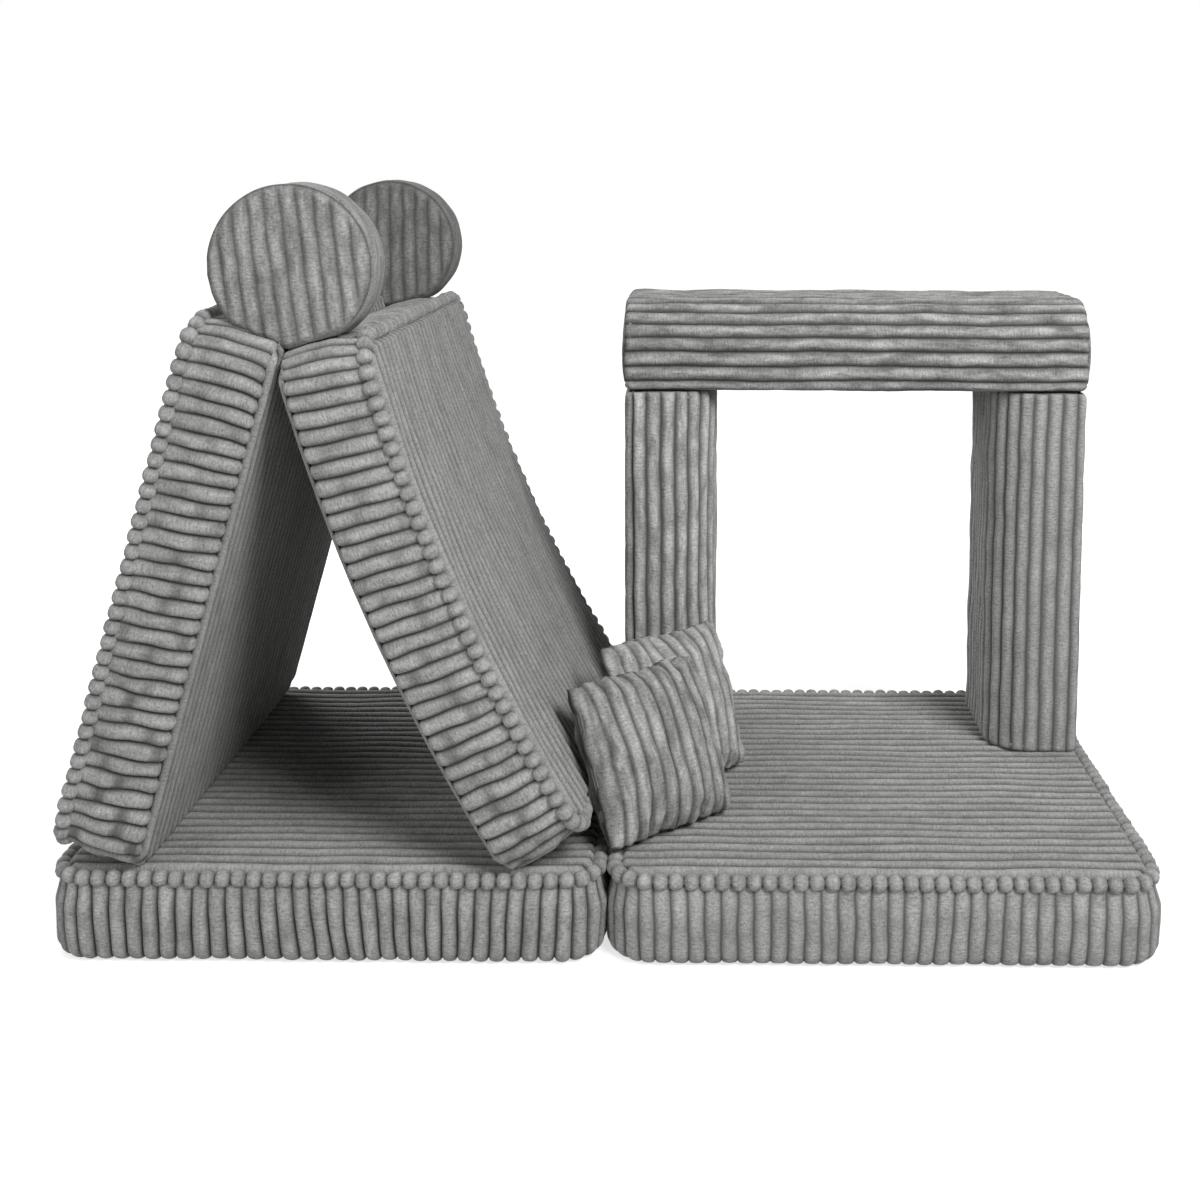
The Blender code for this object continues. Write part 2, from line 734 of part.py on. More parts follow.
def disc_centre(left_matrix, right_matrix):
    """X and Z of a disc that rests on both panels' top ends."""
    left_up, _ = tent_directions(TENT_LEFT_LEAN, -1)
    right_up, _ = tent_directions(right_end_lean(), 1)
    end = Vector((MATTRESS_SIDE / 2, 0, 0))
    a = left_up.dot(left_matrix @ end) + DISC_RADIUS - DISC_SINK_LEFT + GAP
    b = right_up.dot(right_matrix @ bent(end, TENT_RIGHT_SAG)) + DISC_RADIUS - DISC_SINK_RIGHT + GAP
    scale = left_up.x * right_up.z - left_up.z * right_up.x
    x = (a * right_up.z - b * left_up.z) / scale
    z = (b * left_up.x - a * right_up.x) / scale
    return x, z


def disc_matrix(centre, face_y):
    """A disc with its ribbed face towards -Y at face_y."""
    x, z = centre
    return Matrix.Translation((x, face_y + DISC_THICK, z)) @ Matrix.Rotation(math.pi / 2, 4, "X")


def place_disc(name, turn, matrix, left_matrix, parts):
    """One disc's pieces under its frame."""
    frame = module_frame(name, matrix, parts)
    meshes = disc_meshes(turn, matrix.inverted() @ left_matrix)
    for part, (mesh, finish) in meshes.items():
        piece(name + "_" + part, mesh, finish, frame, parts, smooth=part in ("cover", "back_panel"))


# Pillow

def pillow_columns():
    return PILLOW_COLUMNS_PER_RIB * round(PILLOW_SIDE / RIB_PITCH) + 2


def pillow_plan(u, v):
    """Where a grid point lies: the sides draw in between the corners, but not the lower or zip edge."""
    half = PILLOW_SIDE / 2
    right = PILLOW_DRAW_IN * (1 - v * v) * max(u, 0)
    top = PILLOW_DRAW_IN * (1 - u * u) * max(v, 0)
    return half * u - right, half + half * v - top


def swell(t):
    """A full curve from one at the middle to nothing at the seam."""
    return max(0.0, 1 - t * t) ** PILLOW_FULLNESS_share


def pillow_crown(u, v):
    """Half the thickness inside the cloth."""
    return PILLOW_PUFF * swell(u / PILLOW_FLANGE_share) * swell(v)


def pillow_panel(side):
    """The front or back cloth, ribbed up and down: side is 1 or -1."""
    columns = pillow_columns()

    def rib(u):
        valley = round((u + 1) / 2 * columns) % 2
        return PILLOW_RIB_DEPTH if valley else 0

    def outer(u, v):
        return side * (SEAM_HALF + pillow_crown(u, v) + PILLOW_CLOTH + rib(u))

    def inner(u, v):
        return side * (SEAM_HALF + pillow_crown(u, v))
    shell = lens(columns, PILLOW_ROWS, pillow_plan, outer, inner)
    edge = -PILLOW_SIDE / 2
    half = PILLOW_ZIP_WIDTH / 2
    notch = box(
        (edge - OVERRUN, (PILLOW_SIDE - PILLOW_ZIP) / 2, -half),
        (edge + PILLOW_ZIP_DEPTH, (PILLOW_SIDE + PILLOW_ZIP) / 2, half),
    )
    return reworked(carved(shell, [notch]))


def pillow_filling():
    """The filling follows the cloth's own grid, but stops short of the seams."""
    columns = pillow_columns()
    cells = columns - 2

    def line(t, count, lines, stop):
        """A grid line's place, and that of the last one that reaches full height."""
        index = t * count / 2
        last = count / 2 - 1
        full = max(-last, min(last, index))
        reach = full + (index - full) * stop
        return 2 * reach / lines, 2 * full / lines

    def at(u, v):
        on_seams = (abs(u) > 1 - MERGE) + (abs(v) > 1 - MERGE)
        stop = FILLING_CORNER_share if on_seams > 1 else FILLING_EDGE_share
        across, full_across = line(u, cells, columns, stop)
        up, full_up = line(v, PILLOW_ROWS, PILLOW_ROWS, stop)
        height = pillow_crown(full_across, full_up) * (1 - stop * on_seams) - FILLING_EASE
        return pillow_plan(across, up), height

    def plan(u, v):
        return at(u, v)[0]

    def upper(u, v):
        return at(u, v)[1]

    def lower(u, v):
        return -at(u, v)[1]
    return lens(cells, PILLOW_ROWS, plan, upper, lower)


def pillow_meshes():
    """A pillow's five pieces and where its slider rests."""
    chain, slider = straight_zip(PILLOW_ZIP, -PILLOW_SIDE / 2 + PILLOW_ZIP_DEPTH - GAP, PILLOW_ZIP_WIDTH)
    rest = Vector((-PILLOW_SIDE / 2, (PILLOW_SIDE - PILLOW_ZIP) / 2 + SLIDER_REST + SLIDER_LENGTH / 2, 0))
    return {
        "front_panel": (pillow_panel(1), PLUSH),
        "back_panel": (pillow_panel(-1), PLUSH),
        "filling": (pillow_filling(), FIBRE),
        "zip_chain": (moved(chain, Matrix.Translation((0, PILLOW_SIDE / 2, 0))), COIL),
        "zip_slider": (moved(slider, Matrix.Translation((0, rest.y, 0))), ENAMEL),
    }, rest


def pillow_matrix(from_seam, from_front, lean):
    """A pillow that stands on its lower edge and leans back; its lower left corner is given."""
    along = Vector((math.cos(PILLOW_YAW), math.sin(PILLOW_YAW), 0))
    back = Vector((-math.sin(PILLOW_YAW), math.cos(PILLOW_YAW), 0))
    up = back * math.sin(lean) + Vector((0, 0, math.cos(lean)))
    front = along.cross(up)
    turn = Matrix((along, up, front)).transposed().to_4x4()
    rim = SEAM_HALF + PILLOW_CLOTH + PILLOW_RIB_DEPTH
    corner = Vector((SEAM_HALF + from_seam, SEAT_FRONT + from_front, SEAT_TOP + rim * math.sin(lean)))
    return Matrix.Translation(corner + along * PILLOW_SIDE / 2) @ turn


def place_pillow(name, meshes, rest, matrix, parts):
    frame = module_frame(name, matrix, parts)
    for part, (mesh, finish) in meshes.items():
        origin = rest if part == "zip_slider" else (0, 0, 0)
        piece(name + "_" + part, mesh, finish, frame, parts, origin, part in ("filling",))


def build():
    clear_scene()
    parts = collection("modular_foam_play_sofa")
    mattress, rest = mattress_meshes()
    middle = MATTRESS_SIDE / 2 + SEAM_HALF
    turned = Matrix.Translation((-middle, SEAT_Y, 0)) @ Matrix.Rotation(math.pi, 4, "Z")
    place_mattress("seat_left", mattress, rest, turned, parts)
    place_mattress("seat_right", mattress, rest, Matrix.Translation((middle, SEAT_Y, 0)), parts)
    sagged = {part: (bent_mesh(mesh, TENT_RIGHT_SAG), finish) for part, (mesh, finish) in mattress.items()}
    right_matrix = tent_right_matrix(sagged["boxing"][0])
    left_matrix = tent_left_matrix(mattress["boxing"][0], sagged["boxing"][0], right_matrix)
    place_mattress("tent_left", mattress, rest, left_matrix, parts)
    place_mattress("tent_right", sagged, bent(rest, TENT_RIGHT_SAG), right_matrix, parts)

    place_block("post_left", POST_LENGTH, post_matrix(door_left_x(), 1), parts)
    place_block("post_right", POST_LENGTH, post_matrix(door_left_x() + LINTEL_LENGTH, -1), parts)
    place_block("lintel", LINTEL_LENGTH, lintel_matrix(), parts)

    centre = disc_centre(left_matrix, right_matrix)
    front_y = TENT_Y - MATTRESS_SIDE / 2 + DISC_FRONT_INSET
    back_y = TENT_Y + MATTRESS_SIDE / 2 - DISC_BACK_INSET - DISC_THICK
    place_disc("disc_front", DISC_TILT, disc_matrix(centre, front_y), left_matrix, parts)
    place_disc("disc_back", 0, disc_matrix(centre, back_y), left_matrix, parts)

    pillow, pillow_rest = pillow_meshes()
    front = pillow_matrix(PILLOW_FRONT_FROM_SEAM, PILLOW_FRONT_FROM_FRONT, PILLOW_FRONT_LEAN)
    back = pillow_matrix(PILLOW_BACK_FROM_SEAM, PILLOW_BACK_FROM_FRONT, PILLOW_BACK_LEAN)
    place_pillow("pillow_front", pillow, pillow_rest, front, parts)
    place_pillow("pillow_back", pillow, pillow_rest, back, parts)


build()
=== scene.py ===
"""Looks of the modular foam play sofa: ribbed plush covers over foam, set out as a tent and a doorway."""

import enum
import logging
import math
from contextlib import contextmanager
from dataclasses import dataclass
from typing import Iterator, Sequence

import bmesh
import bpy
import numpy as np
from mathutils import Matrix, Vector


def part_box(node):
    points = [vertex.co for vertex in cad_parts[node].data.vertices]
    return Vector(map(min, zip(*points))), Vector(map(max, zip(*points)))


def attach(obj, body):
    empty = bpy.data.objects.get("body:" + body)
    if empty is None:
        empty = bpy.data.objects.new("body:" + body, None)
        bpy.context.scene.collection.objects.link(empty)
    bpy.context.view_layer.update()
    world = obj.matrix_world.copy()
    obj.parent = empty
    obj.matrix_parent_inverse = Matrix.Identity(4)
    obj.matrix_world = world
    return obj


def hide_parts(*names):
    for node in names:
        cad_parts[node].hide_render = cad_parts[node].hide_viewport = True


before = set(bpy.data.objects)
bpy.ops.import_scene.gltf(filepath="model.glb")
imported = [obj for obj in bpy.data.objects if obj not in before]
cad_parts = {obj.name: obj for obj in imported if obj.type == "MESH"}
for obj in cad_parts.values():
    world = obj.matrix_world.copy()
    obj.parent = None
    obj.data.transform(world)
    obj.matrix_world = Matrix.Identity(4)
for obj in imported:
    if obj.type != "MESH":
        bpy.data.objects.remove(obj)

LOG = logging.getLogger("play_sofa")
MM = 0.001
WELD = 0.00001
RIB_PITCH = 25 * MM
MATTRESS_SIDE = 800 * MM
MATTRESS_THICK = 136 * MM
DISC_RADIUS = 115 * MM
DISC_SLACK = 2 * MM
ZIP_POCKET = 10.4 * MM

Array = np.ndarray
Socket = bpy.types.NodeSocket
Pair = tuple[float, float]
Inputs = tuple[tuple[str, float], ...]


# Colours and nodes

def linear(hex_colour: str) -> tuple[float, float, float, float]:
    """Turns an sRGB hex colour to linear light.

    Args:
        hex_colour: Six hex digits after a hash sign.

    Returns:
        Red, green, blue and an alpha of one.
    """
    channels = [int(hex_colour[start:start + 2], 16) / 255 for start in (1, 3, 5)]
    made = [c / 12.92 if c <= 0.04045 else ((c + 0.055) / 1.055) ** 2.4 for c in channels]
    return made[0], made[1], made[2], 1.0


def node(tree: bpy.types.NodeTree, kind: str, settings: dict | None = None, **links: object) -> bpy.types.Node:
    """Adds a node with its settings and links.

    Args:
        tree: The material's node tree.
        kind: The node's type name.
        settings: Properties of the node, and default values by input name.
        links: Sockets or values by input name, with underscores for spaces.

    Returns:
        The new node.
    """
    made = tree.nodes.new(kind)
    for key, value in (settings or {}).items():
        if hasattr(made, key):
            setattr(made, key, value)
        else:
            made.inputs[key].default_value = value
    for key, value in links.items():
        socket = made.inputs[int(key[1:]) if key[0] == "i" and key[1:].isdigit() else key.replace("_", " ")]
        if isinstance(value, bpy.types.NodeSocket):
            tree.links.new(value, socket)
        else:
            socket.default_value = value
    return made


@dataclass(frozen=True)
class Finish:
    """A procedural material: a colour and a relief on a Principled shader."""

    name: str = "finish"
    relief: Pair = (0.0, 0.0)
    surface: Inputs = ()

    def pattern(self, tree: bpy.types.NodeTree) -> tuple[Socket, Socket]:
        """Adds the finish's own nodes.

        Args:
            tree: The material's node tree.

        Returns:
            The colour, and the height that the relief follows.
        """
        raise NotImplementedError

    def material(self) -> bpy.types.Material:
        """Builds the node material.

        Returns:
            The material.
        """
        made = bpy.data.materials.new(self.name)
        made.use_nodes = True
        tree = made.node_tree
        shader = tree.nodes["Principled BSDF"]
        colour, height = self.pattern(tree)
        tree.links.new(colour, shader.inputs["Base Color"])
        strength, distance = self.relief
        if strength:
            bump = node(tree, "ShaderNodeBump", {"Strength": strength, "Distance": distance}, Height=height)
            tree.links.new(bump.outputs["Normal"], shader.inputs["Normal"])
        for key, value in self.surface:
            shader.inputs[key].default_value = value
        return made


@dataclass(frozen=True)
class RibbedPlush(Finish):
    """Polyester plush with a short cut pile, knitted in wide wales and brushed by hand.

    The pile shows as fine fuzz with strands that lie across the wales. The brushing shows as soft patches and
    streaks that are darker or paler, which is painted sheen: the way the brushed pile catches the light, drawn
    into the colour. The valleys between the wales are painted dark as shade, by the cloth's height. The fuzz
    and its strands are drawn a little coarser than they are.
    """

    relief: Pair = (0.8, 1.5 * MM)
    surface: Inputs = (
        ("Roughness", 0.95), ("Specular IOR Level", 0.2), ("Sheen Weight", 0.08), ("Sheen Roughness", 0.5),
    )
    # Painted sheen: the brushed patches' two colours, paler where the pile catches the light and darker where it does
    # not
    brushed_pale_sheen: str = "#bcbcba"
    brushed_dark_sheen: str = "#9a9a98"
    # Painted shade: the colour that the valleys between the wales are drawn in
    valley_shade: str = "#454544"
    pile: float = 2.9 * MM
    patch: Pair = (34 * MM, 85 * MM)
    streak: Pair = (9 * MM, 38 * MM)
    strand: Pair = (9 * MM, 3.2 * MM)

    def pattern(self, tree: bpy.types.NodeTree) -> tuple[Socket, Socket]:
        """Mixes the brushed patches of painted sheen, the fuzz and the painted shade of the valleys.

        Args:
            tree: The material's node tree.

        Returns:
            The colour, and the height that the relief follows.
        """
        where = node(tree, "ShaderNodeTexCoord").outputs["Object"]
        cloth_map = node(tree, "ShaderNodeUVMap", {"uv_map": "cloth"}).outputs["UV"]
        crest = node(tree, "ShaderNodeAttribute", {"attribute_name": "crest"}).outputs["Fac"]
        noises = []
        for (across, along), detail in ((self.patch, 2.0), (self.streak, 3.0), (self.strand, 2.0)):
            laid = node(tree, "ShaderNodeMapping", {"Scale": (1 / across, 1 / along, 1.0)}, Vector=cloth_map)
            noise = node(tree, "ShaderNodeTexNoise",
                         {"Scale": 1.0, "Detail": detail, "Roughness": 0.55, "Distortion": 0.4},
                         Vector=laid.outputs["Vector"])
            noises.append(noise.outputs["Fac"])
        both = node(tree, "ShaderNodeMath", {"operation": "ADD"}, i0=noises[0], i1=noises[1]).outputs[0]
        plush_tone = node(tree, "ShaderNodeMapRange", {"From Min": 0.75, "From Max": 1.25}, Value=both).outputs[0]
        # Painted sheen: the brushed patches and streaks mix the paler and the darker colour
        cloth = node(tree, "ShaderNodeMix", {"data_type": "RGBA"}, i0=plush_tone, i6=linear(self.brushed_dark_sheen),
                     i7=linear(self.brushed_pale_sheen)).outputs[2]
        fuzz = node(tree, "ShaderNodeTexNoise", {"Scale": 1 / self.pile, "Detail": 2.0, "Roughness": 0.6},
                    Vector=where).outputs["Fac"]
        pile = node(tree, "ShaderNodeMath", {"operation": "ADD"}, i0=fuzz, i1=noises[2]).outputs[0]
        grain = node(tree, "ShaderNodeMapRange", {"From Min": 0.68, "From Max": 1.32, "To Min": 0.64, "To Max": 1.25},
                     Value=pile).outputs[0]
        grained = node(tree, "ShaderNodeMix", {"data_type": "RGBA", "blend_type": "MULTIPLY"}, i0=1.0, i6=cloth,
                       i7=grain).outputs[2]
        # Painted shade: the lower the cloth lies between the wales, the more its colour turns to the valleys' dark
        # colour
        depth = node(tree, "ShaderNodeMath", {"operation": "POWER"}, i0=crest, i1=1.4).outputs[0]
        colour = node(tree, "ShaderNodeMix", {"data_type": "RGBA"}, i0=depth, i6=linear(self.valley_shade),
                      i7=grained).outputs[2]
        return colour, pile


@dataclass(frozen=True)
class ZipTape(Finish):
    """Woven polyester tape, grey, with threads about half a millimetre apart, drawn a little coarser."""

    name: str = "zip_tape_weave"
    relief: Pair = (0.4, 0.2 * MM)
    surface: Inputs = (("Roughness", 0.85),)
    warp: str = "#8c8c8a"
    weft: str = "#7c7c7a"
    thread: float = 0.8 * MM

    def pattern(self, tree: bpy.types.NodeTree) -> tuple[Socket, Socket]:
        """Lays the threads as a fine chequer along the tape.

        Args:
            tree: The material's node tree.

        Returns:
            The colour, and the height that the relief follows.
        """
        cloth_map = node(tree, "ShaderNodeUVMap", {"uv_map": "cloth"}).outputs["UV"]
        laid = node(tree, "ShaderNodeMapping", {"Scale": (1 / self.thread, 1 / self.thread, 1.0)}, Vector=cloth_map)
        weave = node(tree, "ShaderNodeTexChecker",
                     {"Scale": 1.0, "Color1": linear(self.warp), "Color2": linear(self.weft)},
                     Vector=laid.outputs["Vector"])
        return weave.outputs["Color"], weave.outputs["Fac"]


@dataclass(frozen=True)
class Speckled(Finish):
    """A finish mixed from two colours by one fine pattern, which is its relief too."""

    colours: tuple[str, str] = ("#000000", "#ffffff")
    grain: float = 2 * MM
    texture: str = "ShaderNodeTexNoise"
    settings: Inputs = (("Detail", 2.0),)
    measure: str = "Fac"
    span: Pair = (0.0, 1.0)

    def pattern(self, tree: bpy.types.NodeTree) -> tuple[Socket, Socket]:
        """Mixes the two colours by the pattern.

        Args:
            tree: The material's node tree.

        Returns:
            The colour, and the height that the relief follows.
        """
        where = node(tree, "ShaderNodeTexCoord").outputs["Object"]
        specks = node(tree, self.texture, {"Scale": 1 / self.grain, **dict(self.settings)}, Vector=where)
        height = specks.outputs[self.measure]
        share = node(tree, "ShaderNodeMapRange", {"From Min": self.span[0], "From Max": self.span[1]}, Value=height)
        first, second = (linear(colour) for colour in self.colours)
        colour = node(tree, "ShaderNodeMix", {"data_type": "RGBA"}, i0=share.outputs[0], i6=first, i7=second)
        return colour.outputs[2], height


@dataclass(frozen=True)
class PolyurethaneFoam(Speckled):
    """Open-cell foam, sawn from a block: pale yellow, matt, with fine pores."""

    name: str = "polyurethane_foam"
    relief: Pair = (0.6, 0.8 * MM)
    surface: Inputs = (("Roughness", 0.9),)
    colours: tuple[str, str] = ("#e3dcb8", "#cfc69c")
    texture: str = "ShaderNodeTexVoronoi"
    settings: Inputs = ()
    measure: str = "Distance"


@dataclass(frozen=True)
class ZipCoil(Speckled):
    """Nylon monofilament wound into a coil: satin, darker than its tape."""

    name: str = "zip_coil_nylon"
    surface: Inputs = (("Roughness", 0.42), ("IOR", 1.53))
    colours: tuple[str, str] = ("#6c6c6b", "#5e5e5d")
    grain: float = 6 * MM


@dataclass(frozen=True)
class SliderEnamel(Speckled):
    """Grey enamel on a die-cast zinc slider, with a faint orange-peel."""

    name: str = "slider_enamel"
    relief: Pair = (0.15, 0.1 * MM)
    surface: Inputs = (("Roughness", 0.3),)
    colours: tuple[str, str] = ("#5a5a59", "#737372")
    grain: float = 1.5 * MM
    span: Pair = (0.6, 0.75)


@dataclass(frozen=True)
class PolyesterFibre(Speckled):
    """Carded polyester fill: white and woolly, with loose wisps."""

    name: str = "polyester_fibre"
    relief: Pair = (0.7, 2 * MM)
    surface: Inputs = (("Roughness", 0.95), ("Sheen Weight", 0.2))
    colours: tuple[str, str] = ("#d8d8d4", "#efefec")
    grain: float = 9 * MM
    settings: Inputs = (("Detail", 5.0), ("Distortion", 1.5))


# Shapes on arrays

def ripple(where: Array, size: float, seed: int) -> Array:
    """Smooth unevenness from crossing waves.

    Args:
        where: One row a point, in metres.
        size: The usual length of a wave, in metres.
        seed: Picks the waves.

    Returns:
        A value a point, mostly between -1 and 1.
    """
    dice = np.random.default_rng(seed)
    total = np.zeros(len(where))
    for _ in range(9):
        direction = dice.normal(size=where.shape[1])
        direction /= np.linalg.norm(direction)
        length = size * dice.uniform(0.6, 1.8)
        total += np.sin(where @ direction * (2 * math.pi / length) + dice.uniform(0, 2 * math.pi))
    return total / 2.6


def eased(share: Array) -> Array:
    """A smooth step from zero to one."""
    share = np.clip(share, 0, 1)
    return share * share * (3 - 2 * share)


def crowded(share: Array) -> Array:
    """Spreads shares of a width from -1 to 1, closer together towards both ends."""
    return np.sin((share - 0.5) * math.pi * 0.94) / math.sin(math.pi * 0.47)


def read(items: bpy.types.bpy_prop_collection, key: str = "co") -> Array:
    """Reads vectors of points or of an attribute, one a row.

    Args:
        items: The points, or the attribute's values.
        key: What is read of each.

    Returns:
        One row an item.
    """
    flat = np.empty(len(items) * 3)
    items.foreach_get(key, flat)
    return flat.reshape(-1, 3)


def write(items: bpy.types.bpy_prop_collection, values: Array, key: str = "co") -> None:
    """Writes values or vectors, one a row."""
    items.foreach_set(key, np.ascontiguousarray(values, dtype=np.float32).ravel())


def chart(mesh: bpy.types.Mesh, across: Array, along: Array, crest: Array) -> None:
    """Writes what the plush reads: a map of the cloth, and its heights, from which the plush paints shade.

    Args:
        mesh: The cloth.
        across: Distance across the ribs a point.
        along: Distance along the ribs.
        crest: Height of the cloth, from zero to one. The plush paints shade where it is low, and some pieces lower it
            further to paint shade into seams and pockets.
    """
    index = np.empty(len(mesh.loops), dtype=np.int32)
    mesh.loops.foreach_get("vertex_index", index)
    write(mesh.uv_layers.new(name="cloth").data, np.stack([across, along], 1)[index], "uv")
    write(mesh.attributes.new("crest", "FLOAT", "POINT").data, crest, "value")


@contextmanager
def reshaped(mesh: bpy.types.Mesh, merged: bool = True) -> Iterator[bmesh.types.BMesh]:
    """Opens a mesh for bmesh operators and writes it back with its faces turned outwards.

    Args:
        mesh: The mesh.
        merged: Whether its doubles are merged first.

    Yields:
        Its bmesh.
    """
    bm = bmesh.new()
    bm.from_mesh(mesh)
    if merged:
        bmesh.ops.remove_doubles(bm, verts=bm.verts, dist=WELD)
    yield bm
    bmesh.ops.recalc_face_normals(bm, faces=bm.faces)
    bm.to_mesh(mesh)
    bm.free()


def turn_outwards(mesh: bpy.types.Mesh, merged: bool = True) -> None:
    """Turns a mesh's faces outwards, its doubles merged first where that is asked."""
    with reshaped(mesh, merged):
        pass


@dataclass(frozen=True)
class Wales:
    """The round ribs of the cloth, each a little different from the next."""

    count: int
    pitch: float
    depth: float
    wander: float
    pinch: float
    seed: int
    fullness: float = 0.49

    def swing(self, rib: Array, along: Array, lengths: Sequence[float], seed: int) -> Array:
        """A wave along each rib, with a phase of its own.

        Args:
            rib: The rib's number a point.
            along: Distance along the rib.
            lengths: The lengths of the waves that add up.
            seed: Picks the phases.

        Returns:
            A value a point, mostly between -1 and 1.
        """
        dice = np.random.default_rng(self.seed * 100 + seed)
        phases = dice.uniform(0, 2 * math.pi, (len(lengths), self.count))
        chosen = rib.astype(int) % self.count
        waves = [np.sin(along * (2 * math.pi / length) + phase[chosen]) for length, phase in zip(lengths, phases)]
        return sum(waves) / math.sqrt(len(lengths))

    def lay(self, place: Array, along: Array, rough: Array | float = 1.0) -> tuple[Array, Array]:
        """Lays the ribs: how far the cloth slips sideways and how high it stands.

        Args:
            place: Place across the ribs, counted in ribs, a whole number in a valley.
            along: Distance along the ribs.
            rough: How uneven the ribs are, against their usual unevenness.

        Returns:
            The slip across the ribs in metres, and the height from zero in a valley to one on a crest.
        """
        rib = np.floor(place + 1e-6)
        turn = place - rib
        lengths = (70 * MM, 130 * MM, 290 * MM)
        before = self.wander * self.swing(rib, along, lengths, 1) * rough
        after = self.wander * self.swing(rib + 1, along, lengths, 1) * rough
        slip = before * (1 - turn) + after * turn
        room = np.clip(1 + (after - before) / self.pitch, 0.5, 1.15)
        dent = np.clip(self.swing(rib, along, (43 * MM, 85 * MM), 2) - 0.3, 0, 1.2)
        swell = np.clip(1 - np.abs(2 * turn - 1) ** 2.1, 0, 1) ** self.fullness
        return slip, swell * room * (1 - self.pinch * dent * rough)


class Outline:
    """A rectangle with round corners, measured by the distance round it."""

    def __init__(self, width: float, height: float, radii: Sequence[float]) -> None:
        """Works out a fine line of points with outward directions.

        Args:
            width: Overall size along the first axis.
            height: Overall size along the second axis.
            radii: Corner radii, anticlockwise from the lower right.
        """
        points, normals = [], []
        for index, ((sx, sy), radius) in enumerate(zip(((1, -1), (1, 1), (-1, 1), (-1, -1)), radii)):
            turns = (index - 1) * math.pi / 2 + np.linspace(0, math.pi / 2, 65)
            normal = np.stack([np.cos(turns), np.sin(turns)], 1)
            centre = np.array((sx * (width / 2 - radius), sy * (height / 2 - radius)))
            points.append(centre + radius * normal)
            normals.append(normal)
        self.points = np.concatenate(points + [points[0][:1]])
        self.normals = np.concatenate(normals + [normals[0][:1]])
        steps = np.linalg.norm(np.diff(self.points, axis=0), axis=1)
        self.stations = np.concatenate([[0.0], np.cumsum(steps)])
        self.length = float(self.stations[-1])

    def at(self, distance: Array) -> tuple[Array, Array]:
        """Points and outward directions at distances round the outline.

        Args:
            distance: Distances round it from where it starts.

        Returns:
            The points and the directions, one a row.
        """
        distance = np.mod(distance, self.length)
        point = np.stack([np.interp(distance, self.stations, self.points[:, k]) for k in (0, 1)], 1)
        normal = np.stack([np.interp(distance, self.stations, self.normals[:, k]) for k in (0, 1)], 1)
        return point, normal / np.linalg.norm(normal, axis=1)[:, None]

    def reach(self, across: Array) -> Array:
        """How far the outline goes along the first axis, at places along the second.

        Args:
            across: The places along the second axis.

        Returns:
            The reach at each place.
        """
        right = self.points[:, 0] >= 0
        order = np.argsort(self.points[right, 1])
        return np.interp(across, self.points[right, 1][order], self.points[right, 0][order])


class Skin:
    """A grid of cloth whose points are set by formulas, then welded and closed."""

    def __init__(self, columns: int, rows: int) -> None:
        """Makes the flat grid.

        Args:
            columns: Faces along the first axis.
            rows: Faces along the second axis.
        """
        bm = bmesh.new()
        bmesh.ops.create_grid(bm, x_segments=columns, y_segments=rows, size=1)
        self.mesh = bpy.data.meshes.new("skin")
        bm.to_mesh(self.mesh)
        bm.free()
        flat = read(self.mesh.vertices)
        self.column = np.rint((flat[:, 0] + 1) / 2 * columns).astype(int)
        self.row = np.rint((flat[:, 1] + 1) / 2 * rows).astype(int)
        self.u = self.column / columns
        self.v = self.row / rows

    def dress(self, points: Array, across: Array, along: Array, crest: Array) -> None:
        """Shapes the grid, and writes its map and its heights as chart does.

        Args:
            points: Where its points go, one a row.
            across: Distance across the ribs a point.
            along: Distance along the ribs.
            crest: Height of the cloth, from zero to one. The plush paints shade where it is low, and some pieces lower
                it further to paint shade into seams and pockets.
        """
        write(self.mesh.vertices, points)
        self.mesh.update()
        chart(self.mesh, across, along, crest)

    def close(self, floor: float, stations: Sequence[float] = ()) -> None:
        """Closes an open panel with a wall down to a floor and a flat back.

        Args:
            floor: Height of the back, in the panel's own frame.
            stations: Places along X where the back is divided, so that it can bend.
        """
        with reshaped(self.mesh) as bm:
            rim = [edge for edge in bm.edges if edge.is_boundary]
            made = bmesh.ops.extrude_edge_only(bm, edges=rim)["geom"]
            for vert in made:
                if isinstance(vert, bmesh.types.BMVert):
                    vert.co.z = floor
            edges = [edge for edge in made if isinstance(edge, bmesh.types.BMEdge) and edge.is_boundary]
            back = bmesh.ops.edgeloop_fill(bm, edges=edges)["faces"]
            for station in stations:
                faces = [face for face in back if face.is_valid]
                edges = list(dict.fromkeys(edge for face in faces for edge in face.edges))
                verts = list(dict.fromkeys(vert for face in faces for vert in face.verts))
                cut = bmesh.ops.bisect_plane(
                    bm, geom=verts + edges + faces, dist=WELD, plane_co=(station, 0, 0), plane_no=(1, 0, 0)
                )["geom"]
                back = [face for face in cut if isinstance(face, bmesh.types.BMFace)]


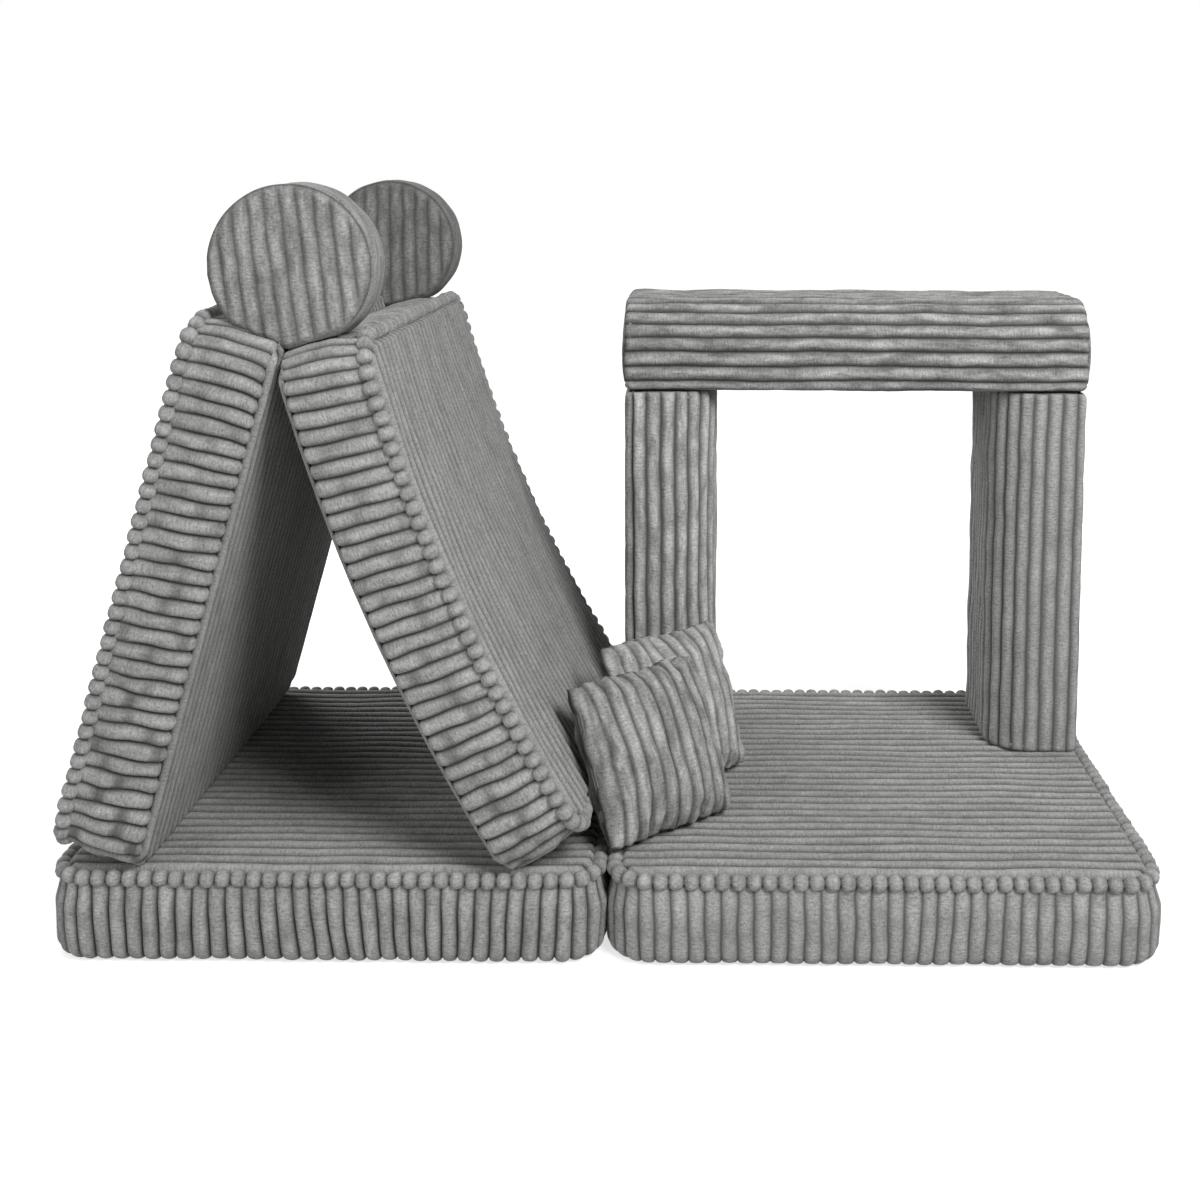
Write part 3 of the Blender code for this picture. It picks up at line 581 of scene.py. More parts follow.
class PlushTone(enum.Enum):
    """Copies of the same plush, paler or darker and more or less patchy piece by piece: partly how its pile lies, and
    partly painted light and shade, each copy as bright as its pieces look where the light falls on them.

    Each choice holds a name, the crests' two colours, the valleys' colour and a brushed patch in mm.
    """

    COMBED = ("ribbed_plush", "#bcbcba", "#9a9a98", "#454544", (34, 85))
    EVEN = ("ribbed_plush_even", "#babab8", "#a4a4a2", "#383837", (60, 200))
    SMOOTH = ("ribbed_plush_smooth", "#b6b6b4", "#a2a2a0", "#626261", (40, 160))
    BRUSHED = ("ribbed_plush_brushed", "#c6c6c4", "#868684", "#454544", (26, 90))
    # Painted light: a paler copy, for the pieces that look lit
    LIT = ("ribbed_plush_lit", "#dadad8", "#a0a09e", "#5c5c5b", (26, 90))
    STROKED = ("ribbed_plush_stroked", "#b8b8b6", "#868684", "#454544", (26, 90))
    # Painted shade: a darker copy, for the disc at the back, which lies in shade
    LAID = ("ribbed_plush_shaded", "#969694", "#747472", "#454544", (26, 90))

    def finish(self) -> RibbedPlush:
        """The plush in this tone."""
        name, up, down, valley_shade, (across, along) = self.value
        return RibbedPlush(name, brushed_pale_sheen=up, brushed_dark_sheen=down, valley_shade=valley_shade, patch=(across * MM, along * MM))


@dataclass
class Wardrobe:
    """The finishes, each made once."""

    plush: dict[PlushTone, bpy.types.Material]
    tape: bpy.types.Material
    coil: bpy.types.Material
    enamel: bpy.types.Material
    fibre: bpy.types.Material
    foam: bpy.types.Material

    @classmethod
    def filled(cls) -> "Wardrobe":
        """Builds every finish.

        Returns:
            The filled wardrobe.
        """
        plush = {plush_tone: plush_tone.finish().material() for plush_tone in PlushTone}
        return cls(plush, ZipTape().material(), ZipCoil().material(), SliderEnamel().material(),
                   PolyesterFibre().material(), PolyurethaneFoam().material())


@dataclass(frozen=True)
class Stand:
    """Where a module stands: its own X, Z and origin in the shared frame, and how far it sags."""

    along: Vector
    out: Vector
    origin: Vector
    sag: float = 0.0
    span: float = 0.0
    thick: float = 0.0

    @property
    def matrix(self) -> Matrix:
        """From the module's own frame to the shared one."""
        turn = Matrix((self.along, self.out.cross(self.along), self.out)).transposed().to_4x4()
        return Matrix.Translation(self.origin) @ turn

    def local(self, points: Array) -> Array:
        """Points of the shared frame in the module's own one."""
        turn = np.array(self.matrix.inverted())
        return points @ turn[:3, :3].T + turn[:3, 3]

    def apply(self, mesh: bpy.types.Mesh) -> None:
        """Bends a mesh where the module sags, and puts it in its place.

        Args:
            mesh: The mesh, in the module's own frame.
        """
        points = read(mesh.vertices)
        if self.sag:
            radius = self.span ** 2 / (8 * self.sag) + self.sag / 2
            angle = points[:, 0] / (radius - self.thick / 2)
            reach = radius - points[:, 2]
            points = np.stack([reach * np.sin(angle), points[:, 1], radius - reach * np.cos(angle)], 1)
        write(mesh.vertices, points)
        mesh.transform(self.matrix)
        mesh.update()


def linked(name: str, data: bpy.types.ID) -> bpy.types.Object:
    """Makes an object and links it to the scene.

    Args:
        name: Its name.
        data: Its mesh, lamp or camera.

    Returns:
        The object.
    """
    made = bpy.data.objects.new(name, data)
    bpy.context.scene.collection.objects.link(made)
    return made


def cad_points(name: str) -> Array:
    """A CAD node's points in the shared frame."""
    return read(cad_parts[name].data.vertices)


def extent(names: Sequence[str], direction: Vector) -> Pair:
    """The lowest and highest place of CAD nodes along a direction."""
    places = np.concatenate([cad_points(name) for name in names]) @ np.array(direction)
    return float(places.min()), float(places.max())


@dataclass(frozen=True)
class Course:
    """The line that a zip follows on a module, straight or round an arc, in the module's own frame."""

    length: float
    origin: Vector
    ahead: Vector
    outwards: Vector
    radius: float = 0.0
    start: float = 0.0
    level: float = 0.0

    def at(self, distance: Array, across: Array, depth: Array) -> Array:
        """Places on the course.

        Args:
            distance: Distance along it, from its middle.
            across: Distance across the zip.
            depth: How deep below the cloth's outer surface.

        Returns:
            One row a point.
        """
        if self.radius:
            angle = self.start + distance / self.radius
            far = self.radius - depth
            return np.stack([far * np.cos(angle), far * np.sin(angle), self.level + across], 1)
        side = np.array(self.outwards.cross(self.ahead))
        return (np.array(self.origin) + distance[:, None] * np.array(self.ahead) + across[:, None] * side
                - depth[:, None] * np.array(self.outwards))


@dataclass
class Module:
    """One loose module of the set: a CAD body, where it stands, and its pieces."""

    body: str
    wardrobe: Wardrobe
    stand: Stand

    def build(self) -> None:
        """Makes and dresses every piece."""
        raise NotImplementedError

    def piece(
        self, part: str, mesh: bpy.types.Mesh, finish: bpy.types.Material, slot: str, nodes: Sequence[str],
        fill: float | None = None, rider: str = "",
    ) -> None:
        """Makes a finished mesh a piece of this module.

        Args:
            part: What the piece is, added to the module's name.
            mesh: The mesh, in the shared frame.
            finish: Its material.
            slot: The record's material slot; not used.
            nodes: The CAD nodes it stands for, without the module's name.
            fill: How full a padded piece is, or none; not used.
            rider: Ending of the body's name, for a piece that slides on the module.
        """
        made = linked(f"{self.body}_{part}", mesh)
        mesh.name = made.name
        mesh.materials.clear()
        mesh.materials.append(finish)
        mesh.shade_smooth()
        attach(made, self.body + rider)
        if nodes:
            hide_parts(*[f"{self.body}_{name}" for name in nodes])
        LOG.info("%s: %d faces", made.name, len(mesh.polygons))

    def plush(self, part: str, mesh: bpy.types.Mesh, plush_tone: PlushTone, nodes: Sequence[str], fill: float = 0.9) -> None:
        """Puts a mesh of plush in its place and makes it a piece of the module.

        Args:
            part: What the piece is, added to the module's name.
            mesh: The mesh, in the module's own frame.
            plush_tone: Which copy of the plush it wears, paler or darker partly by how its pile lies and partly by
                painted light and shade.
            nodes: The CAD nodes it stands for, without the module's name.
            fill: How full it is.
        """
        self.stand.apply(mesh)
        self.piece(part, mesh, self.wardrobe.plush[plush_tone], "plush", nodes, fill)

    def sew(self, part: str, skin: Skin, shape: Sequence[Array], plush_tone: PlushTone, nodes: Sequence[str],
            fill: float = 0.9) -> None:
        """Dresses a skin that closes on itself, welds it and makes it a plush piece.

        Args:
            part: What the piece is.
            skin: The grid.
            shape: Its points, its distances across and along the ribs, and its heights.
            plush_tone: Which copy of the plush it wears, paler or darker partly by how its pile lies and partly by
                painted light and shade.
            nodes: The CAD nodes it stands for.
            fill: How full it is.
        """
        skin.dress(*shape)
        turn_outwards(skin.mesh)
        self.plush(part, skin.mesh, plush_tone, nodes, fill)

    def zip(self, course: Course, travel: float) -> None:
        """Makes the tape, the coil and the slider of the module's zip.

        Args:
            course: The line that the zip follows.
            travel: Where the slider stands, measured along the course from its middle.
        """
        # Sections in mm: across the zip, and below the cloth's surface
        tape = [(-9.7, 9.9), (-9.7, 9.1), (-6.5, 8.9), (-3.4, 9.0), (0.0, 9.2), (3.4, 9.0), (6.5, 8.9), (9.7, 9.1),
                (9.7, 9.9)]
        coil = [(-3.0, 9.0), (-3.1, 8.2), (-2.2, 7.6), (-0.9, 7.7), (0.0, 8.1), (0.9, 7.7), (2.2, 7.6), (3.1, 8.2),
                (3.0, 9.0)]
        strips = (("zip_tape", tape, 8 * MM, 1, 0.0, self.wardrobe.tape),
                  ("zip_coil", coil, 3.2 * MM, 4, 0.55 * MM, self.wardrobe.coil))
        for part, section, pitch, facets, ridge, finish in strips:
            count = round(course.length / pitch)
            skin = Skin(count * facets, len(section))
            across, depth = (np.array(section) * MM)[skin.row % len(section)].T
            turn = skin.column % facets / facets
            depth = depth + ridge * (np.cos(turn * 2 * math.pi) < -0.5) * (depth < 8.9 * MM)
            distance = course.length * (skin.u - 0.5)
            skin.dress(course.at(distance, across, depth), across, distance, np.ones(len(across)))
            with reshaped(skin.mesh) as bm:
                bmesh.ops.holes_fill(bm, edges=bm.edges, sides=0)
            self.stand.apply(skin.mesh)
            self.piece(part, skin.mesh, finish, "coil", ["zip_chain"])
        self.slider(course, travel)

    def slider(self, course: Course, travel: float) -> None:
        """Makes the zip's slider: two plates with a bridge, a lug and a pull.

        Args:
            course: The line that the zip follows.
            travel: Where the slider stands, measured along the course from its middle.
        """
        # Middle and size of each block in mm: along the zip, across it and below the cloth's surface
        blocks = (((0, 0, 6.6), (16, 11, 1.1)), ((0, 0, 3.9), (15, 10, 1.1)), ((-4.5, 0, 5.2), (4, 3, 2)),
                  ((2, 0, 2.9), (5, 2.4, 1.6)), ((-3.5, 0, 2.6), (13, 5.5, 0.9)))
        mesh = bpy.data.meshes.new("slider")
        with reshaped(mesh, merged=False) as bm:
            for place, size in blocks:
                made = bmesh.ops.create_cube(bm, size=1)["verts"]
                bmesh.ops.scale(bm, verts=made, vec=[value * MM for value in size])
                bmesh.ops.translate(bm, verts=made, vec=[value * MM for value in place])
            bmesh.ops.bevel(bm, geom=bm.edges, affect="EDGES", offset=0.4 * MM, segments=2, profile=0.5, material=-1)
        ahead, across, depth = read(mesh.vertices).T
        write(mesh.vertices, course.at(ahead + travel, across, depth))
        turn_outwards(mesh, merged=False)
        self.stand.apply(mesh)
        self.piece("zip_slider_body", mesh, self.wardrobe.enamel, "enamel", ["zip_slider"], rider="_slider")

    def local(self, name: str) -> Array:
        """A CAD node's points in the module's own frame."""
        return self.stand.local(cad_points(f"{self.body}_{name}"))

    def core(self, part: str, name: str, finish: bpy.types.Material, slot: str, fill: float) -> None:
        """Makes a piece from a copy of a CAD core, welded and with its flat faces joined.

        Args:
            part: What the piece is.
            name: The CAD node, without the module's name.
            finish: Its material.
            slot: The record's material slot.
            fill: How full it is.
        """
        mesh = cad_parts[f"{self.body}_{name}"].data.copy()
        with reshaped(mesh) as bm:
            bmesh.ops.dissolve_limit(bm, angle_limit=math.radians(1), verts=bm.verts, edges=bm.edges)
        self.piece(part, mesh, finish, slot, [name], fill)


# Mattress

@dataclass
class Mattress(Module):
    """A square mattress: top panel, side band, underside and beaded piping over a foam block."""

    crown: float = 0.0
    shear: float = 0.0
    droop: float = 0.0
    roll: float = 20 * MM
    lift: float = 0.0
    tuck: float = 21 * MM
    rough: Pair = (0.8, 0.8)
    lean: float = 5 * MM
    band_depth: float = 8 * MM
    pinch: float = 0.14
    plush_tone: PlushTone = PlushTone.COMBED
    seed: int = 1
    side: float = MATTRESS_SIDE
    thick: float = MATTRESS_THICK
    corner: float = 65 * MM
    bead: float = 24 * MM
    bead_pitch: float = 22.3 * MM
    proud: float = 0.5 * MM
    band_pitch: float = 23.7 * MM
    bulge: float = 3 * MM
    pucker: float = 1.3 * MM
    unevenness: float = 0.8 * MM
    top_rib: float = 7.5 * MM
    under_rib: float = 4.6 * MM
    seam_inset: float = 16 * MM
    zip_length: float = 560 * MM
    zip_height: float = 48 * MM
    zip_width: float = 20 * MM
    facets: int = 8

    def build(self) -> None:
        """Makes and dresses every piece."""
        self.top_panel()
        self.side_band()
        self.underside()
        self.beaded_piping()
        self.core("foam_block", "foam_core", self.wardrobe.foam, "foam", 1.0)
        course = Course(self.zip_length, Vector((-self.side / 2, 0, self.zip_height)), Vector((0, 1, 0)),
                        Vector((-1, 0, 0)))
        self.zip(course, float(self.local("zip_slider")[:, 1].mean()))

    def stations(self) -> list[float]:
        """Places along the length where a flat back is divided."""
        reach = self.side / 2 - self.corner
        return [reach * step / 6 for step in range(-6, 7)]

    def ribbed_face(self, inset: float, level: float, drop: float, face: float, crown: float, floor: float,
                    depth: float, seed: int) -> Skin:
        """A panel with ribs along X whose ends follow the mattress's plan.

        Args:
            inset: How far its edge lies inside the mattress's side.
            level: Height of the crests.
            drop: How far the edge dips.
            face: 1 where the ribs face up, -1 where they face down.
            crown: How far the middle swells.
            floor: Height of the panel's flat back.
            depth: Depth of the ribs.
            seed: Picks its unevenness.

        Returns:
            The closed skin.
        """
        side = self.side - 2 * inset
        outline = Outline(side, side, [self.corner - inset] * 4)
        count = round(side / RIB_PITCH)
        wales = Wales(count + 1, side / count, depth, wander=0.35 * MM, pinch=0.05, seed=seed, fullness=0.66)
        skin = Skin(100, count * self.facets)
        across = side * (skin.v - 0.5)
        half = outline.reach(across)
        along = crowded(skin.u) * half
        edge = np.minimum(half - np.abs(along), side / 2 - np.abs(across))
        slip, crest = wales.lay(skin.v * count, along)
        fade = eased(edge / (10 * MM))
        swell = crown * (1 - (along / half) ** 2) * (1 - (across / side * 2) ** 2)
        uneven = ripple(np.stack([along, across], 1), 160 * MM, seed + 3) * self.unevenness * fade * (face > 0)
        height = level + face * (swell + uneven - wales.depth * (1 - crest * (0.3 + 0.7 * fade))
                                 - drop * (1 - eased(edge / (12 * MM))))
        skin.dress(np.stack([along, across + slip * fade, height], 1), across, along, crest)
        skin.close(floor, self.stations())
        return skin

    def top_panel(self) -> None:
        """The ribbed top, inside the piping."""
        skin = self.ribbed_face(inset=self.seam_inset, level=self.thick + self.proud, drop=6 * MM, face=1,
                                crown=self.crown, floor=self.thick - 14 * MM, depth=self.top_rib, seed=self.seed)
        self.plush("top", skin.mesh, PlushTone.EVEN, ["top_panel"])

    def underside(self) -> None:
        """The ribbed underside, sewn to the band with a plain seam."""
        dip = max(2.5 * MM, 0.6 * self.lift)
        skin = self.ribbed_face(inset=self.tuck, level=0.0, drop=dip, face=-1, crown=0.0, floor=9 * MM,
                                depth=self.under_rib, seed=self.seed + 20)
        self.plush("underside", skin.mesh, PlushTone.EVEN, ["boxing"])

    def band_path(self) -> tuple[Array, Array, Array, Array, int]:
        """The band's section, from under the piping down the outside and back up the inside.

        Returns:
            Inset, level, tilt and rib strength for each row, and the number of outer rows.
        """
        slot = [self.zip_height + sign * self.zip_width / 2 + step
                for sign in (1, -1) for step in (0.4 * MM, -0.4 * MM)]
        walls = sorted(set(np.linspace(110 * MM, self.roll + self.lift, 13).tolist() + slot), reverse=True)
        arc = np.linspace(0, math.pi / 2, 8)[1:]
        # Inset, level, tilt and rib strength
        rows = [(14 * MM, 121 * MM, 1.5, 0.1), (10 * MM, 120.5 * MM, 1.3, 0.1), (8 * MM, 116 * MM, 0.6, 0.2)]
        for level in walls:
            under = 1 - float(eased(np.array((112 * MM - level) / (38 * MM))))
            rows.append((7 * MM * under, level, 0.0, 1 - 0.65 * under))
        rows += [(self.roll * (1 - math.cos(a)), self.lift + self.roll * (1 - math.sin(a)), -a, 1 - 0.25 * math.sin(a))
                 for a in arc]
        rows += [(self.roll + 4 * MM, self.lift + 3 * MM, -math.pi / 2, 0.2)]
        outer = len(rows)
        rows += [(self.roll + 4 * MM, 10 * MM, 0.0, 0.0), (11 * MM, 28 * MM, 0.0, 0.0), (11 * MM, 108 * MM, 0.0, 0.0)]
        inset, level, tilt, thin = np.array(rows).T
        return inset, level, tilt, thin, outer

    def side_band(self) -> None:
        """The band round the side: ribs across the thickness, rounded under at the foot."""
        outline = Outline(self.side, self.side, [self.corner] * 4)
        count = round(outline.length / self.band_pitch)
        inset, level, tilt, thin, outer = self.band_path()
        rows = len(inset)
        skin = Skin(count * self.facets, rows)
        row = skin.row % rows
        inset, level, tilt, thin = (values[row] for values in (inset, level, tilt, thin))
        is_outer = row < outer
        share = np.clip(level / (121 * MM), 0, 1)
        distance = outline.length * skin.u
        point, normal = outline.at(distance)
        wales = Wales(count, outline.length / count, self.band_depth, wander=0.7 * MM, pinch=self.pinch,
                      seed=self.seed + 40)
        round_trip = np.stack([np.cos(skin.u * 2 * math.pi), np.sin(skin.u * 2 * math.pi), share * 0.1], 1)
        leaning = self.lean * ripple(round_trip, 0.6, self.seed + 41) * (1 - share)
        climb = self.shear * (1 - share) - self.droop * (1 - share) ** 3 * eased((point[:, 0] - 0.12) / 0.25)
        sagging = -normal[:, 1] ** 3 * climb
        rough = self.rough[0] + (self.rough[1] - self.rough[0]) * eased(0.5 - point[:, 0] / self.side)
        slip, crest = wales.lay(skin.column / self.facets, level, rough)
        bulge = self.bulge * np.sin(np.pi * share) * is_outer
        thin = thin * is_outer
        spot = np.column_stack([point, level])
        pucker = self.pucker * ripple(spot, 90 * MM, self.seed + 42) * thin
        depth = wales.depth * thin * (1 - crest)
        zipped = self.in_zip(point, level) * is_outer
        outwards = (-inset - self.proud + bulge + pucker - depth * np.cos(tilt)) * (1 - zipped) - ZIP_POCKET * zipped
        tangent = np.stack([-normal[:, 1], normal[:, 0]], 1)
        flat = point + normal * outwards[:, None] + tangent * ((slip + sagging + leaning) * is_outer)[:, None]
        points = np.column_stack([flat, level - depth * np.sin(tilt)])
        # Painted shade: the zip's pocket is drawn in the valleys' dark colour, as are the inner rows out of sight
        height = np.where(is_outer, crest * (1 - zipped), 0.0)
        self.sew("side_band", skin, (points, distance, level, height), self.plush_tone, ["boxing"])

    def in_zip(self, point: Array, level: Array) -> Array:
        """One where the band makes room for the zip, and zero elsewhere.

        Args:
            point: Places in the mattress's plan, one a row.
            level: Height of each.

        Returns:
            A value a point.
        """
        near = point[:, 0] < -self.side / 2 + 12 * MM
        long = np.abs(point[:, 1]) < self.zip_length / 2
        wide = np.abs(level - self.zip_height) < self.zip_width / 2
        return (near & long & wide).astype(float)

    def beaded_piping(self) -> None:
        """The string of plump beads along the top seam."""
        radius = self.bead / 2
        inset = radius - 1.5 * MM
        outline = Outline(self.side - 2 * inset, self.side - 2 * inset, [self.corner - inset] * 4)
        count = round(outline.length / self.bead_pitch)
        skin = Skin(count * self.facets, 12)
        distance = outline.length * skin.u
        place = skin.column % (count * self.facets) / self.facets
        bead = np.floor(place)
        turn = 2 * (place - bead) - 1
        dice = np.random.default_rng(self.seed + 60)
        plump = dice.uniform(0.95, 1.04, count + 1)[bead.astype(int)]
        swell = np.sqrt(np.clip(1 - np.abs(turn) ** 2.1, 0, 1))
        girth = radius * (0.3 + (plump - 0.3) * swell)
        shift = dice.uniform(-1, 1, (count + 1, 2))[bead.astype(int)] * (1.0 * MM * (1 - turn ** 2))[:, None]
        point, normal = outline.at(distance)
        angle = 2 * math.pi * skin.v
        flat = point + normal * (girth * np.cos(angle) + shift[:, 0])[:, None]
        height = self.thick - 0.5 * MM - radius + girth * np.sin(angle) + shift[:, 1]
        # Painted shade: each bead is drawn darker at its necks, where it meets the next
        shape = (np.column_stack([flat, height]), distance, radius * angle, 0.3 + 0.7 * swell)
        self.sew("piping", skin, shape, PlushTone.COMBED, ["beaded_piping"], 0.8)


# Block

@dataclass
class Block(Module):
    """A long block with a flat foot and round top edges: a sleeve and two end panels over foam."""

    length: float
    plush_tone: PlushTone
    end_crown: float = 0.0
    rib_depth: float = 7.5 * MM
    ragged: float = 1.5 * MM
    seed: int = 100
    depth: float = 305 * MM
    height: float = 156 * MM
    top_radius: float = 78 * MM
    foot_radius: float = 20 * MM
    end: float = 12 * MM
    lip: float = 0.8 * MM
    wander: float = 1 * MM
    unevenness: float = 1.2 * MM
    inner_wall: float = 10.8 * MM
    end_inset: float = 6 * MM
    end_rib: float = 4 * MM
    zip_length: float = 400 * MM
    zip_width: float = 20 * MM
    facets: int = 8

    def build(self) -> None:
        """Makes and dresses every piece."""
        self.sleeve()
        self.end_panel(1)
        self.end_panel(-1)
        self.core("foam_block", "foam_core", self.wardrobe.foam, "foam", 1.0)
        course = Course(self.zip_length, Vector((0, 0, 0)), Vector((1, 0, 0)), Vector((0, 0, -1)))
        self.zip(course, float(self.local("zip_slider")[:, 0].mean()))

    def section(self, inset: float = 0.0) -> Outline:
        """The block's section in Y and Z, centred on its height."""
        radii = [self.foot_radius, self.top_radius, self.top_radius, self.foot_radius]
        return Outline(self.depth - 2 * inset, self.height - 2 * inset, [radius - inset for radius in radii])

    def sleeve(self) -> None:
        """The ribbed sleeve: ribs along the length, gathered a little at both seams."""
        outline = self.section()
        count = round(outline.length / RIB_PITCH)
        outer = 80
        bend = np.concatenate([np.linspace(0, 1, 9)[:-1] ** 1.6 * self.end, [self.end]]) + self.lip
        middle = self.length / 2 - self.end - self.lip
        stations = [-self.length / 2 + step for step in bend]
        stations += list(np.linspace(-middle, middle, outer - 2 * len(bend) + 2)[1:-1])
        stations += [self.length / 2 - step for step in bend[::-1]]
        stations += [self.length / 2 - 2 * MM, -self.length / 2 + 2 * MM]
        rows = len(stations)
        skin = Skin(count * self.facets, rows)
        row = skin.row % rows
        along = np.array(stations)[row]
        is_outer = row < outer
        distance = outline.length * skin.u
        point, normal = outline.at(distance)
        wales = Wales(count, outline.length / count, self.rib_depth, wander=0.5 * MM, pinch=0.1, seed=self.seed,
                      fullness=0.7)
        wind = np.stack([np.cos(skin.u * 2 * math.pi) * 0.12, np.sin(skin.u * 2 * math.pi) * 0.12, along], 1)
        meander = self.wander * ripple(wind, 260 * MM, self.seed + 1)
        slip, crest = wales.lay(skin.column / self.facets, along)
        edge = self.length / 2 - np.abs(along)
        near = np.clip(1 - edge / self.end, 0, 1)
        tucked = self.end * (1 - np.sqrt(1 - near ** 2)) * 0.8
        foot = eased((-self.height / 2 + 8 * MM - point[:, 1]) / (8 * MM))
        uneven = self.unevenness * ripple(wind, 95 * MM, self.seed + 2) * (1 - 0.8 * foot)
        outside = -wales.depth * (1 - crest) * (1 - 0.5 * near) - tucked + uneven * (1 - near)
        outwards = np.where(is_outer, outside, -self.inner_wall)
        zipped = (point[:, 1] < -self.height / 2 + 5 * MM) & (np.abs(point[:, 0]) < self.zip_width / 2)
        zipped &= (np.abs(along) < self.zip_length / 2) & is_outer
        outwards = np.where(zipped, -ZIP_POCKET, outwards)
        tangent = np.stack([-normal[:, 1], normal[:, 0]], 1)
        flat = point + normal * outwards[:, None] + tangent * ((slip + meander) * is_outer)[:, None]
        rib = (skin.column // self.facets) % count
        ends = np.random.default_rng(self.seed + 3).uniform(0, self.ragged, (2, count))[(along > 0).astype(int), rib]
        drawn = along - np.sign(along) * ends * crest * near
        points = np.column_stack([drawn, flat[:, 0], flat[:, 1] + self.height / 2])
        # Painted shade: the zip's pocket is drawn in the valleys' dark colour, as is the inner wall out of sight
        height = np.where(is_outer & ~zipped, crest, 0.0)
        self.sew("sleeve", skin, (points, distance, along, height), self.plush_tone, ["cover"])

    def end_panel(self, end: int) -> None:
        """The ribbed panel that closes one end.

        Args:
            end: 1 for the far end of the length, -1 for the near one.
        """
        outline = self.section(self.end_inset)
        width = self.depth - 2 * self.end_inset
        count = round(width / RIB_PITCH)
        skin = Skin(count * self.facets, 34)
        across = width * (skin.u - 0.5)
        low, high = self.span(outline, across)
        share = crowded(skin.v) / 2 + 0.5
        up = low + (high - low) * share
        wales = Wales(count + 1, width / count, self.end_rib, wander=0.8 * MM, pinch=0.15, seed=self.seed + 5 + end)
        slip, crest = wales.lay(skin.u * count, up)
        edge = np.minimum(np.minimum(up - low, high - up), width / 2 - np.abs(across))
        fade = eased(edge / (12 * MM))
        out = self.length / 2 - 1 * MM - wales.depth * (1 - crest) * fade - 7 * MM * (1 - eased(edge / (10 * MM)))
        out = out + self.end_crown * fade * np.sin(math.pi * share)
        skin.dress(np.column_stack([across + slip * fade, up, out]), across, up, crest)
        skin.close(self.length / 2 - self.end)
        skin.mesh.transform(Matrix(((0, 0, end, 0), (1, 0, 0, 0), (0, 1, 0, self.height / 2), (0, 0, 0, 1))))
        turn_outwards(skin.mesh)
        part, stands_for = ("far_end", "end_panel") if end > 0 else ("near_end", "cover")
        self.plush(part, skin.mesh, self.plush_tone, [stands_for])

    def span(self, outline: Outline, across: Array) -> tuple[Array, Array]:
        """The lowest and highest point of the section at places across it.

        Args:
            outline: The section.
            across: Places across it.

        Returns:
            The lowest and the highest points.
        """
        upper = outline.points[:, 1] >= 0
        made = []
        for chosen in (~upper, upper):
            order = np.argsort(outline.points[chosen, 0])
            made.append(np.interp(across, outline.points[chosen, 0][order], outline.points[chosen, 1][order]))
        return made[0], made[1]


# Disc

